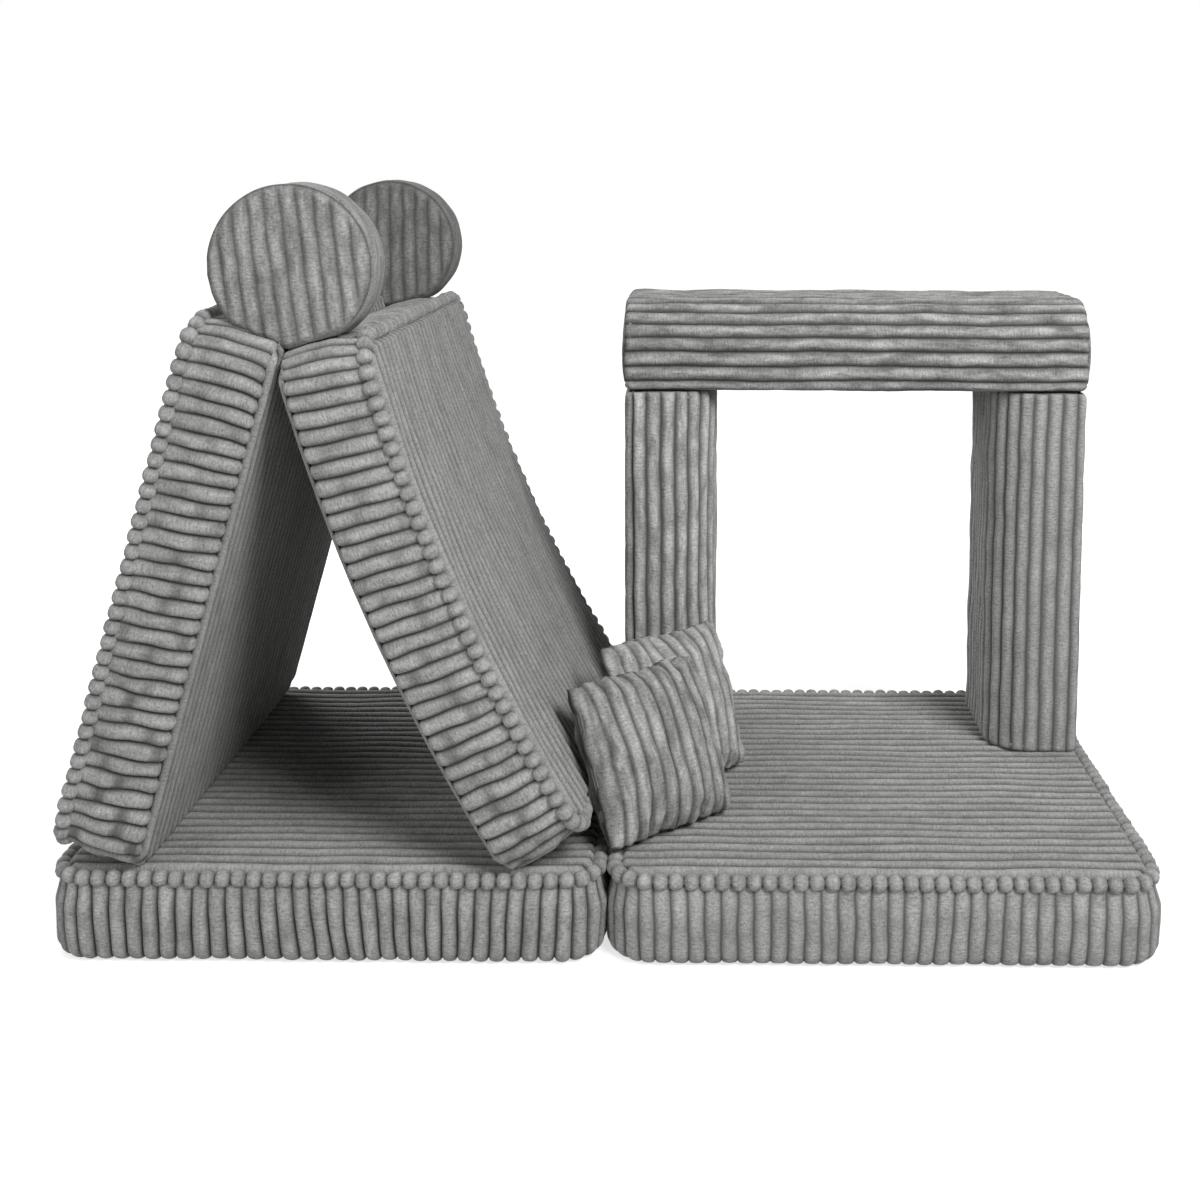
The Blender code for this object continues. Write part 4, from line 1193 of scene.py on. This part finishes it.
@dataclass
class Disc(Module):
    """A thick round cushion: ribbed face, rim band and back, pressed flat by the panels below it."""

    rests: Sequence[Pair]
    plush_tone: PlushTone
    seed: int = 200
    rib_depth: float = 6 * MM
    crown: float = 3 * MM
    seam_dip: float = 6.5 * MM
    seam: float = 8 * MM
    zip_level: float = 50 * MM
    radius: float = DISC_RADIUS
    thick: float = 105 * MM
    facets: int = 8

    def build(self) -> None:
        """Makes and dresses every piece."""
        self.face(1)
        self.face(-1)
        self.rim()
        self.core("foam_round", "foam_core", self.wardrobe.foam, "foam", 1.0)
        chain, slider = self.turns("zip_chain"), self.turns("zip_slider")
        middle = float(chain.min() + chain.max()) / 2
        course = Course(float(np.ptp(chain)) * self.radius, Vector(), Vector(), Vector(), radius=self.radius,
                        start=middle, level=self.zip_level)
        self.zip(course, (float(slider.min() + slider.max()) / 2 - middle) * self.radius)

    def turns(self, name: str) -> Array:
        """Angles round the disc of a CAD node's points."""
        points = self.local(name)
        return np.mod(np.arctan2(points[:, 1], points[:, 0]), 2 * math.pi)

    def limit(self, angle: Array, radius: float) -> Array:
        """The disc's radius at angles round it, cut by the panels that it rests on.

        Args:
            angle: Angles round the disc.
            radius: Its radius where nothing cuts it.

        Returns:
            The radius at each angle.
        """
        reach = np.full(len(angle), radius)
        for direction, distance in self.rests:
            facing = np.cos(angle - direction)
            cut = (distance - (self.radius - radius)) / np.maximum(facing, 1e-3)
            reach = np.where((facing > 0.05) & (cut < reach), cut, reach)
        return reach

    def face(self, side: int) -> None:
        """The ribbed face, or the back.

        Args:
            side: 1 for the ribbed face at the far side, -1 for the back.
        """
        radius = self.radius - DISC_SLACK
        count = round(2 * radius / (23 * MM))
        skin = Skin(count * self.facets, 44)
        across = 2 * radius * (skin.u - 0.5)
        half = np.sqrt(np.maximum(radius ** 2 - across ** 2, 0))
        along = half * np.sin((skin.v - 0.5) * math.pi)
        wales = Wales(count + 1, 2 * radius / count, self.rib_depth, wander=0.7 * MM, pinch=0.2,
                      seed=self.seed + side, fullness=0.65)
        slip, crest = wales.lay(skin.u * count, along)
        crest = 0.34 + 0.66 * crest ** 1.2
        angle = np.arctan2(along, across)
        far = np.hypot(across, along)
        allowed = self.limit(angle, radius)
        squeeze = np.where(far > 0, np.minimum(1, allowed / np.maximum(far, 1e-6)), 1)
        across, along = across * squeeze, along * squeeze
        edge = allowed - np.hypot(across, along)
        fade = eased((edge + 3 * MM) / (17 * MM))
        crown = self.crown * eased(edge / (60 * MM))
        dip = self.seam_dip * (1 - eased(edge / (9 * MM)))
        out = self.thick - wales.depth * (1 - crest) * fade - dip + crown - DISC_SLACK
        # Painted shade: the colour evens out towards the rim and darkens in the last millimetres, where the face dips
        # into the seam
        crest = crest * fade + 0.8 * (1 - fade) - 0.45 * (1 - eased(edge / (4 * MM)))
        skin.dress(np.column_stack([across + slip * fade, along, out]), across, along, crest)
        skin.close(self.thick - 11 * MM)
        if side < 0:
            skin.mesh.transform(Matrix(((1, 0, 0, 0), (0, 1, 0, 0), (0, 0, -1, self.thick), (0, 0, 0, 1))))
            turn_outwards(skin.mesh)
        part, stands_for = ("face", "cover") if side > 0 else ("back", "back_panel")
        self.plush(part, skin.mesh, self.plush_tone, [stands_for])

    def rim(self) -> None:
        """The band round the rim, its ribs running round the disc."""
        seam = self.seam
        width = self.thick - 2 * seam
        share = np.array([0, 0.006, 0.02, 0.05, 0.1, 0.17, 0.25, 0.33, 0.3385, 0.36, 0.45, 0.54, 0.562, 0.57, 0.65,
                          0.75, 0.83, 0.9, 0.95, 0.98, 0.994, 1])
        outer = len(share)
        levels = np.concatenate([seam + width * share, [self.thick - seam, seam]])
        rows = len(levels)
        skin = Skin(240, rows)
        row = skin.row % rows
        level = levels[row]
        is_outer = row < outer
        angle = 2 * math.pi * skin.u
        edge = np.minimum(level - seam, self.thick - seam - level)
        plump = np.sqrt(np.clip(1 - (1 - np.clip(edge / (12 * MM), 0, 1)) ** 2, 0, 1))
        uneven = ripple(np.stack([np.cos(angle) * 0.11, np.sin(angle) * 0.11, level], 1), 50 * MM, self.seed + 9)
        inset = np.where(is_outer, self.seam_dip * (1 - plump) - 0.9 * MM * uneven * plump, 11 * MM)
        chain, turns = self.local("zip_chain"), self.turns("zip_chain")
        middle = (chain[:, 2].min() + chain[:, 2].max()) / 2
        pit = (angle > turns.min()) & (angle < turns.max()) & (np.abs(level - middle) < 9.9 * MM) & is_outer
        inset = np.where(pit, ZIP_POCKET, inset)
        around = self.limit(angle, self.radius) - inset
        points = np.column_stack([around * np.cos(angle), around * np.sin(angle), level])
        # Painted shade: the band is drawn darker towards both seams, where it rounds in, and darkest in the zip's
        # pocket
        height = np.where(is_outer & ~pit, 0.35 + 0.65 * plump, 0.0)
        self.sew("rim", skin, (points, level, angle * self.radius, height), self.plush_tone, ["cover"])


# Pillow

@dataclass
class Pillow(Module):
    """A small square pillow with pointed corners, blown up by a cloth simulation and then given its ribs."""

    plush_tone: PlushTone
    seed: int = 300
    side: float = 248 * MM
    half_thick: float = 54 * MM
    blank_thick: float = 26 * MM
    voxel: float = 4.5 * MM
    cap: float = 30 * MM
    frames: int = 20
    rib_depth: float = 6 * MM
    seam_dip: float = 3 * MM
    pucker: float = 1.6 * MM
    slack: float = 1 * MM
    blunt: float = 0.03
    kept_flat: float = 0.75

    def build(self) -> None:
        """Makes and dresses every piece."""
        self.cover()
        chain, slider = self.local("zip_chain"), self.local("zip_slider")
        low, high = chain.min(0), chain.max(0)
        course = Course(float(high[1] - low[1]), Vector((float(low[0]) - 7.5 * MM, float(low[1] + high[1]) / 2, 0)),
                        Vector((0, 1, 0)), Vector((-1, 0, 0)))
        self.zip(course, float(slider[:, 1].mean() - (low[1] + high[1]) / 2))

    def blank(self) -> bpy.types.Mesh:
        """The flat pillow before it is filled: two panels sewn round the edge.

        Returns:
            Its mesh.
        """
        halves = []
        for face in (1, -1):
            skin = Skin(48, 48)
            across, up = 2 * skin.u - 1, 2 * skin.v - 1
            half = self.side / 2 * 0.97
            swell = (np.maximum(0, 1 - across ** 2) * np.maximum(0, 1 - up ** 2)) ** 0.4
            lumps = ripple(np.stack([across, up], 1) * half, 90 * MM, self.seed + face)
            points = np.column_stack([half * across, half * up, face * self.blank_thick * swell * (1 + 0.12 * lumps)])
            write(skin.mesh.vertices, points)
            halves.append(skin.mesh)
        with reshaped(halves[0], merged=False) as bm:
            bm.from_mesh(halves[1])
            bmesh.ops.remove_doubles(bm, verts=bm.verts, dist=WELD)
        return halves[0]

    def evaluated(self, item: bpy.types.Object) -> bpy.types.Mesh:
        """The object's mesh with its modifiers applied."""
        return bpy.data.meshes.new_from_object(item.evaluated_get(bpy.context.evaluated_depsgraph_get()))

    def filled(self) -> tuple[bpy.types.Mesh, Array]:
        """Fills the blank by a simulation.

        Returns:
            The filled mesh, and where each of its points lay in the blank.
        """
        item = linked("pillow_blank", self.blank())
        remesh = item.modifiers.new("remesh", "REMESH")
        remesh.mode = "VOXEL"
        remesh.voxel_size = self.voxel
        item.data = self.evaluated(item)
        item.modifiers.clear()
        rest = read(item.data.vertices)
        write(item.data.attributes.new("rest", "FLOAT_VECTOR", "POINT").data, rest, "vector")
        self.blow_up(item, rest)
        smooth = item.modifiers.new("smooth", "SUBSURF")
        smooth.levels = smooth.render_levels = 1
        mesh = self.evaluated(item)
        bpy.data.objects.remove(item)
        laid = read(mesh.attributes["rest"].data, "vector")
        mesh.attributes.remove(mesh.attributes["rest"])
        return mesh, laid

    def blow_up(self, item: bpy.types.Object, rest: Array) -> None:
        """Runs the cloth under pressure and keeps where it ends.

        Args:
            item: The blank's object.
            rest: Its points before the simulation.
        """
        cloth = item.modifiers.new("cloth", "CLOTH")
        cloth.settings.use_pressure = True
        cloth.settings.uniform_pressure_force = 5
        cloth.settings.effector_weights.gravity = 0
        cloth.settings.mass = 0.3
        cloth.settings.quality = 6
        cloth.point_cache.frame_start = 1
        cloth.point_cache.frame_end = self.frames
        scene = bpy.context.scene
        for step in range(1, self.frames + 1):
            scene.frame_set(step)
        blown = read(item.evaluated_get(bpy.context.evaluated_depsgraph_get()).to_mesh().vertices)
        item.modifiers.clear()
        scene.frame_set(1)
        move = blown - rest
        far = np.linalg.norm(move, axis=1)
        move *= np.minimum(1, self.cap / np.maximum(far, 1e-9))[:, None]
        write(item.data.vertices, rest + move)
        item.data.update()

    def filling(self, mesh: bpy.types.Mesh) -> None:
        """The fibre filling, with the cover's plump form.

        Args:
            mesh: A copy of the cover, still without ribs.
        """
        mesh.transform(Matrix.Diagonal((0.86, 0.86, 0.8, 1)))
        mesh.transform(Matrix.Translation((0, self.side / 2, 0)))
        self.stand.apply(mesh)
        self.piece("fibre_filling", mesh, self.wardrobe.fibre, "fibre", ["filling"], 0.6)

    def cover(self) -> None:
        """The ribbed cover, sewn round the edge."""
        mesh, laid = self.filled()
        points = read(mesh.vertices)
        size = np.array((self.side / 2, self.side / 2, self.half_thick))
        points *= size / np.abs(points).max(0)
        half = np.abs(laid[:, :2]).max()
        blunt = 1 - self.blunt * np.abs(laid[:, 0] * laid[:, 1] / half ** 2) ** 3
        square = laid[:, :2] * (self.side / 2 / half * blunt)[:, None]
        points[:, :2] = (1 - self.kept_flat) * points[:, :2] + self.kept_flat * square
        points[:, 2] = np.sign(points[:, 2]) * self.half_thick * (np.abs(points[:, 2]) / self.half_thick) ** 0.82
        write(mesh.vertices, points)
        mesh.update()
        self.filling(mesh.copy())
        normals = read(mesh.vertices, "normal")
        across, up = laid[:, 0] / half, laid[:, 1] / half
        count = round(self.side / RIB_PITCH)
        wales = Wales(count + 1, self.side / count, self.rib_depth, wander=0.7 * MM, pinch=0.12, seed=self.seed)
        slip, crest = wales.lay(np.clip((across + 1) / 2 * count, 0, count - 1e-6), up * half)
        edge = np.minimum(1 - np.abs(across), 1 - np.abs(up)) * half
        seam = np.exp(-(laid[:, 2] / (3 * MM)) ** 2) * np.exp(-(edge / (5 * MM)) ** 2)
        near = np.exp(-(edge / (26 * MM)) ** 2)
        pucker = ripple(np.stack([laid[:, 0] * 1.6, laid[:, 1] * 0.7], 1), 26 * MM, self.seed + 2)
        slack = ripple(laid, 80 * MM, self.seed + 3)
        ribs = wales.depth * (1 - crest) * eased(edge / (6 * MM))
        shift = self.pucker * near * pucker + self.slack * slack - ribs - self.seam_dip * seam
        points += normals * shift[:, None]
        points[:, 0] += slip
        points[:, 1] += self.side / 2
        write(mesh.vertices, points)
        # Painted shade: the cloth is drawn darker along the seam round the edge
        chart(mesh, laid[:, 0], laid[:, 1], crest * (1 - 0.7 * seam))
        self.plush("cover", mesh, self.plush_tone, ["front_panel", "back_panel"], 0.7)


# Where everything stands

class Side(enum.Enum):
    """Which side of the tent or the doorway."""

    LEFT = -1
    RIGHT = 1


TENT_LEAN = {Side.LEFT: math.radians(16.0), Side.RIGHT: math.radians(23.0)}
RIGHT_SAG = 30 * MM
DISC_TURN = math.radians(6.0)
PILLOW_YAW = math.radians(42.0)
PILLOW_LEAN = {"pillow_front": math.radians(24.0), "pillow_back": math.radians(20.0)}


def stand_for(names: Sequence[str], foot: Sequence[str], along: Vector, out: Vector, sag: float = 0.0) -> Stand:
    """Finds where a module stands from its CAD nodes.

    Args:
        names: The nodes that give the middle of its length and width.
        foot: The nodes whose lowest place along out is the module's zero.
        along: The module's X.
        out: The module's Z.
        sag: How far it sags, in metres.

    Returns:
        The stand.
    """
    width = out.cross(along)
    middle = sum(extent(names, along)) / 2
    across = sum(extent(names, width)) / 2
    base = extent(foot, out)[0]
    return Stand(along, out, along * middle + width * across + out * base, sag, MATTRESS_SIDE, MATTRESS_THICK)


def mattress_stand(body: str, along: Vector, out: Vector, sag: float = 0.0) -> Stand:
    """Where a mattress stands."""
    return stand_for([f"{body}_beaded_piping"], [f"{body}_boxing"], along, out, sag)


def tent_stand(side: Side) -> Stand:
    """Where a tent panel leans.

    Args:
        side: The panel's side of the tent.

    Returns:
        The stand.
    """
    lean = TENT_LEAN[side]
    along = Vector((-side.value * math.sin(lean), 0, math.cos(lean)))
    out = Vector((side.value * math.cos(lean), 0, math.sin(lean)))
    return mattress_stand(f"tent_{side.name.lower()}", along, out, RIGHT_SAG if side is Side.RIGHT else 0.0)


def block_stand(body: str, along: Vector, out: Vector) -> Stand:
    """Where a block stands."""
    return stand_for([f"{body}_cover", f"{body}_end_panel"], [f"{body}_cover"], along, out)


def disc_stand(body: str, turn: float) -> Stand:
    """Where a disc stands, its face towards -Y.

    Args:
        body: The disc's body.
        turn: How far its ribs are turned from upright, in radians.

    Returns:
        The stand.
    """
    low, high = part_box(f"{body}_cover")
    back_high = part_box(f"{body}_back_panel")[1]
    origin = Vector(((low.x + high.x) / 2, back_high.y, high.z - DISC_RADIUS))
    return Stand(Vector((math.cos(turn), 0, math.sin(turn))), Vector((0, -1, 0)), origin)


def disc_rests(body: str, stand: Stand) -> list[Pair]:
    """Finds how the panels below press a disc flat.

    Args:
        body: The disc's body.
        stand: Where it stands.

    Returns:
        Directions in the disc's frame, and how far the disc reaches there.
    """
    local = stand.local(cad_points(f"{body}_cover"))
    made = []
    for side in Side:
        slope = math.pi / 2 - TENT_LEAN[side]
        normal = Vector((-side.value * math.cos(slope), 0, -math.sin(slope)))
        inside = stand.matrix.to_3x3().transposed() @ normal
        reach = float((local @ np.array(inside)).max())
        if reach < DISC_RADIUS - DISC_SLACK:
            made.append((math.atan2(inside.y, inside.x), reach))
    return made


def pillow_stand(body: str) -> Stand:
    """Where a pillow leans.

    Args:
        body: The pillow's body.

    Returns:
        The stand.
    """
    along = Vector((math.cos(PILLOW_YAW), math.sin(PILLOW_YAW), 0))
    back = Vector((-math.sin(PILLOW_YAW), math.cos(PILLOW_YAW), 0))
    lean = PILLOW_LEAN[body]
    up = back * math.sin(lean) + Vector((0, 0, math.cos(lean)))
    out = along.cross(up)
    panels = [f"{body}_front_panel", f"{body}_back_panel"]
    middle = [sum(extent(panels, direction)) / 2 for direction in (along, out)]
    return Stand(along, out, along * middle[0] + up * extent(panels, up)[0] + out * middle[1])


def modules(wardrobe: Wardrobe) -> list[Module]:
    """Every module of the set, in order.

    Args:
        wardrobe: The finishes.

    Returns:
        The modules, not built yet.
    """
    up, left, right = Vector((0, 0, 1)), Vector((-1, 0, 0)), Vector((1, 0, 0))
    lintel_low, lintel_high = extent(["lintel_cover", "lintel_end_panel"], right)
    post_low, post_high = extent(["post_left_cover", "post_left_end_panel"], up)
    front, back = disc_stand("disc_front", DISC_TURN), disc_stand("disc_back", 0.0)
    return [
        Mattress("seat_left", wardrobe, mattress_stand("seat_left", left, up), seed=1),
        Mattress("seat_right", wardrobe, mattress_stand("seat_right", right, up), rough=(1.2, 1.2), lean=3 * MM,
                 band_depth=5 * MM, plush_tone=PlushTone.SMOOTH, seed=2),
        Mattress("tent_left", wardrobe, tent_stand(Side.LEFT), crown=6 * MM, shear=13 * MM, droop=18 * MM,
                 roll=9 * MM, lift=6 * MM, tuck=6 * MM, rough=(0.9, 2.8), lean=0.0, pinch=0.2, seed=3),
        Mattress("tent_right", wardrobe, tent_stand(Side.RIGHT), crown=4 * MM, shear=9 * MM, roll=9 * MM,
                 lift=6 * MM, tuck=6 * MM, rough=(0.8, 2.2), lean=0.0, pinch=0.2, seed=4),
        Block("post_left", wardrobe, block_stand("post_left", up, right), post_high - post_low, PlushTone.LIT, seed=101),
        Block("post_right", wardrobe, block_stand("post_right", up, left), post_high - post_low, PlushTone.SMOOTH,
              rib_depth=6 * MM, seed=102),
        Block("lintel", wardrobe, block_stand("lintel", right, up), lintel_high - lintel_low, PlushTone.BRUSHED,
              end_crown=5 * MM, rib_depth=8.2 * MM, ragged=4 * MM, seed=103),
        Disc("disc_front", wardrobe, front, disc_rests("disc_front", front), PlushTone.STROKED, seed=201),
        Disc("disc_back", wardrobe, back, disc_rests("disc_back", back), PlushTone.LAID, seed=202),
        Pillow("pillow_front", wardrobe, pillow_stand("pillow_front"), PlushTone.BRUSHED, seed=301),
        Pillow("pillow_back", wardrobe, pillow_stand("pillow_back"), PlushTone.LIT, seed=302),
    ]


# Room, lights and camera

LAMPS = (
    ("key", (1.9, -2.7, 3.3), 1.6, 147),
    ("fill", (-2.6, -3.0, 2.0), 2.2, 38),
    ("back", (-2.4, 3.0, 3.0), 2.4, 88),
)
LIT_PLACE = Vector((0, 0, 0.45))
FLOOR_GAP = 1 * MM
SENSOR = 36
FOCAL_SHARE = 1520.0 / 1200
CAMERA_PLACE = (0.1505, -2.4426, 1.1233)
CAMERA_TURNS = (6.09, -0.42, 0.22)
CAMERA_SHIFT = (-0.085, -0.22)


def seen_straight(tree: bpy.types.NodeTree) -> Socket:
    """One where the camera, a reflection or a clear piece sees a surface, and zero for its light.

    Args:
        tree: The material's or the sky's node tree.

    Returns:
        The socket with that value.
    """
    rays = node(tree, "ShaderNodeLightPath").outputs
    seen = rays["Is Camera Ray"]
    for kind in ("Is Glossy Ray", "Is Transmission Ray"):
        seen = node(tree, "ShaderNodeMath", {"operation": "MAXIMUM"}, i0=seen, i1=rays[kind]).outputs[0]
    return seen


def studio_floor() -> bpy.types.Material:
    """A matt white floor that fades into the white background but keeps the set's shadow.

    Returns:
        The material.
    """
    made = bpy.data.materials.new("studio_floor")
    made.use_nodes = True
    tree = made.node_tree
    shader = tree.nodes["Principled BSDF"]
    where = node(tree, "ShaderNodeTexCoord").outputs["Object"]
    far = node(tree, "ShaderNodeVectorMath", {"operation": "LENGTH"}, i0=where).outputs["Value"]
    lift = node(tree, "ShaderNodeMapRange", {"From Min": 0.75, "From Max": 2.2, "To Min": 0.7, "To Max": 1.0},
                Value=far).outputs[0]
    glow = node(tree, "ShaderNodeMath", {"operation": "MULTIPLY"}, i0=seen_straight(tree), i1=lift).outputs[0]
    shader.inputs["Base Color"].default_value = linear("#cfcfcf")
    shader.inputs["Roughness"].default_value = 1.0
    shader.inputs["Emission Color"].default_value = linear("#ffffff")
    tree.links.new(glow, shader.inputs["Emission Strength"])
    return made


def sky() -> bpy.types.World:
    """A grey sky for light that the camera and reflections see as white.

    Returns:
        The world.
    """
    made = bpy.data.worlds.new("studio_sky")
    made.use_nodes = True
    tree = made.node_tree
    strength = node(tree, "ShaderNodeMapRange", {"To Min": 0.1, "To Max": 1.0}, Value=seen_straight(tree)).outputs[0]
    tree.nodes["Background"].inputs["Color"].default_value = linear("#ffffff")
    tree.links.new(strength, tree.nodes["Background"].inputs["Strength"])
    return made


def studio() -> None:
    """The pale floor, the soft lamps and the sky."""
    bm = bmesh.new()
    bmesh.ops.create_grid(bm, x_segments=1, y_segments=1, size=30)
    mesh = bpy.data.meshes.new("floor")
    bmesh.ops.translate(bm, verts=bm.verts, vec=(0, 0, -FLOOR_GAP))
    bm.to_mesh(mesh)
    bm.free()
    mesh.materials.append(studio_floor())
    floor = linked("floor", mesh)
    bpy.context.scene.world = sky()
    for name, where, size, power in LAMPS:
        lamp = bpy.data.lights.new(name, "AREA")
        lamp.size = size
        lamp.energy = power
        item = linked(name, lamp)
        item.location = where
        item.rotation_euler = (LIT_PLACE - Vector(where)).to_track_quat("-Z", "Y").to_euler()


def camera() -> None:
    """The camera at the photograph's angle."""
    data = bpy.data.cameras.new("camera")
    data.lens = FOCAL_SHARE * SENSOR
    data.sensor_width = SENSOR
    data.shift_x, data.shift_y = CAMERA_SHIFT
    pitch, yaw, roll = (math.radians(turn) for turn in CAMERA_TURNS)
    forward = Vector((math.sin(yaw) * math.cos(pitch), math.cos(yaw) * math.cos(pitch), -math.sin(pitch)))
    right = Vector((math.cos(yaw), -math.sin(yaw), 0))
    up = right.cross(forward)
    right, up = right * math.cos(roll) + up * math.sin(roll), up * math.cos(roll) - right * math.sin(roll)
    turn = Matrix((right, up, -forward)).transposed().to_4x4()
    item = linked("camera", data)
    item.matrix_world = Matrix.Translation(CAMERA_PLACE) @ turn
    bpy.context.scene.camera = item


def main() -> None:
    logging.basicConfig(level=logging.INFO, format="%(message)s")
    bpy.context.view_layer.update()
    wardrobe = Wardrobe.filled()
    for module in modules(wardrobe):
        module.build()
    studio()
    camera()
    bpy.context.scene.view_settings.view_transform = "Standard"


if __name__ == "__main__":
    main()
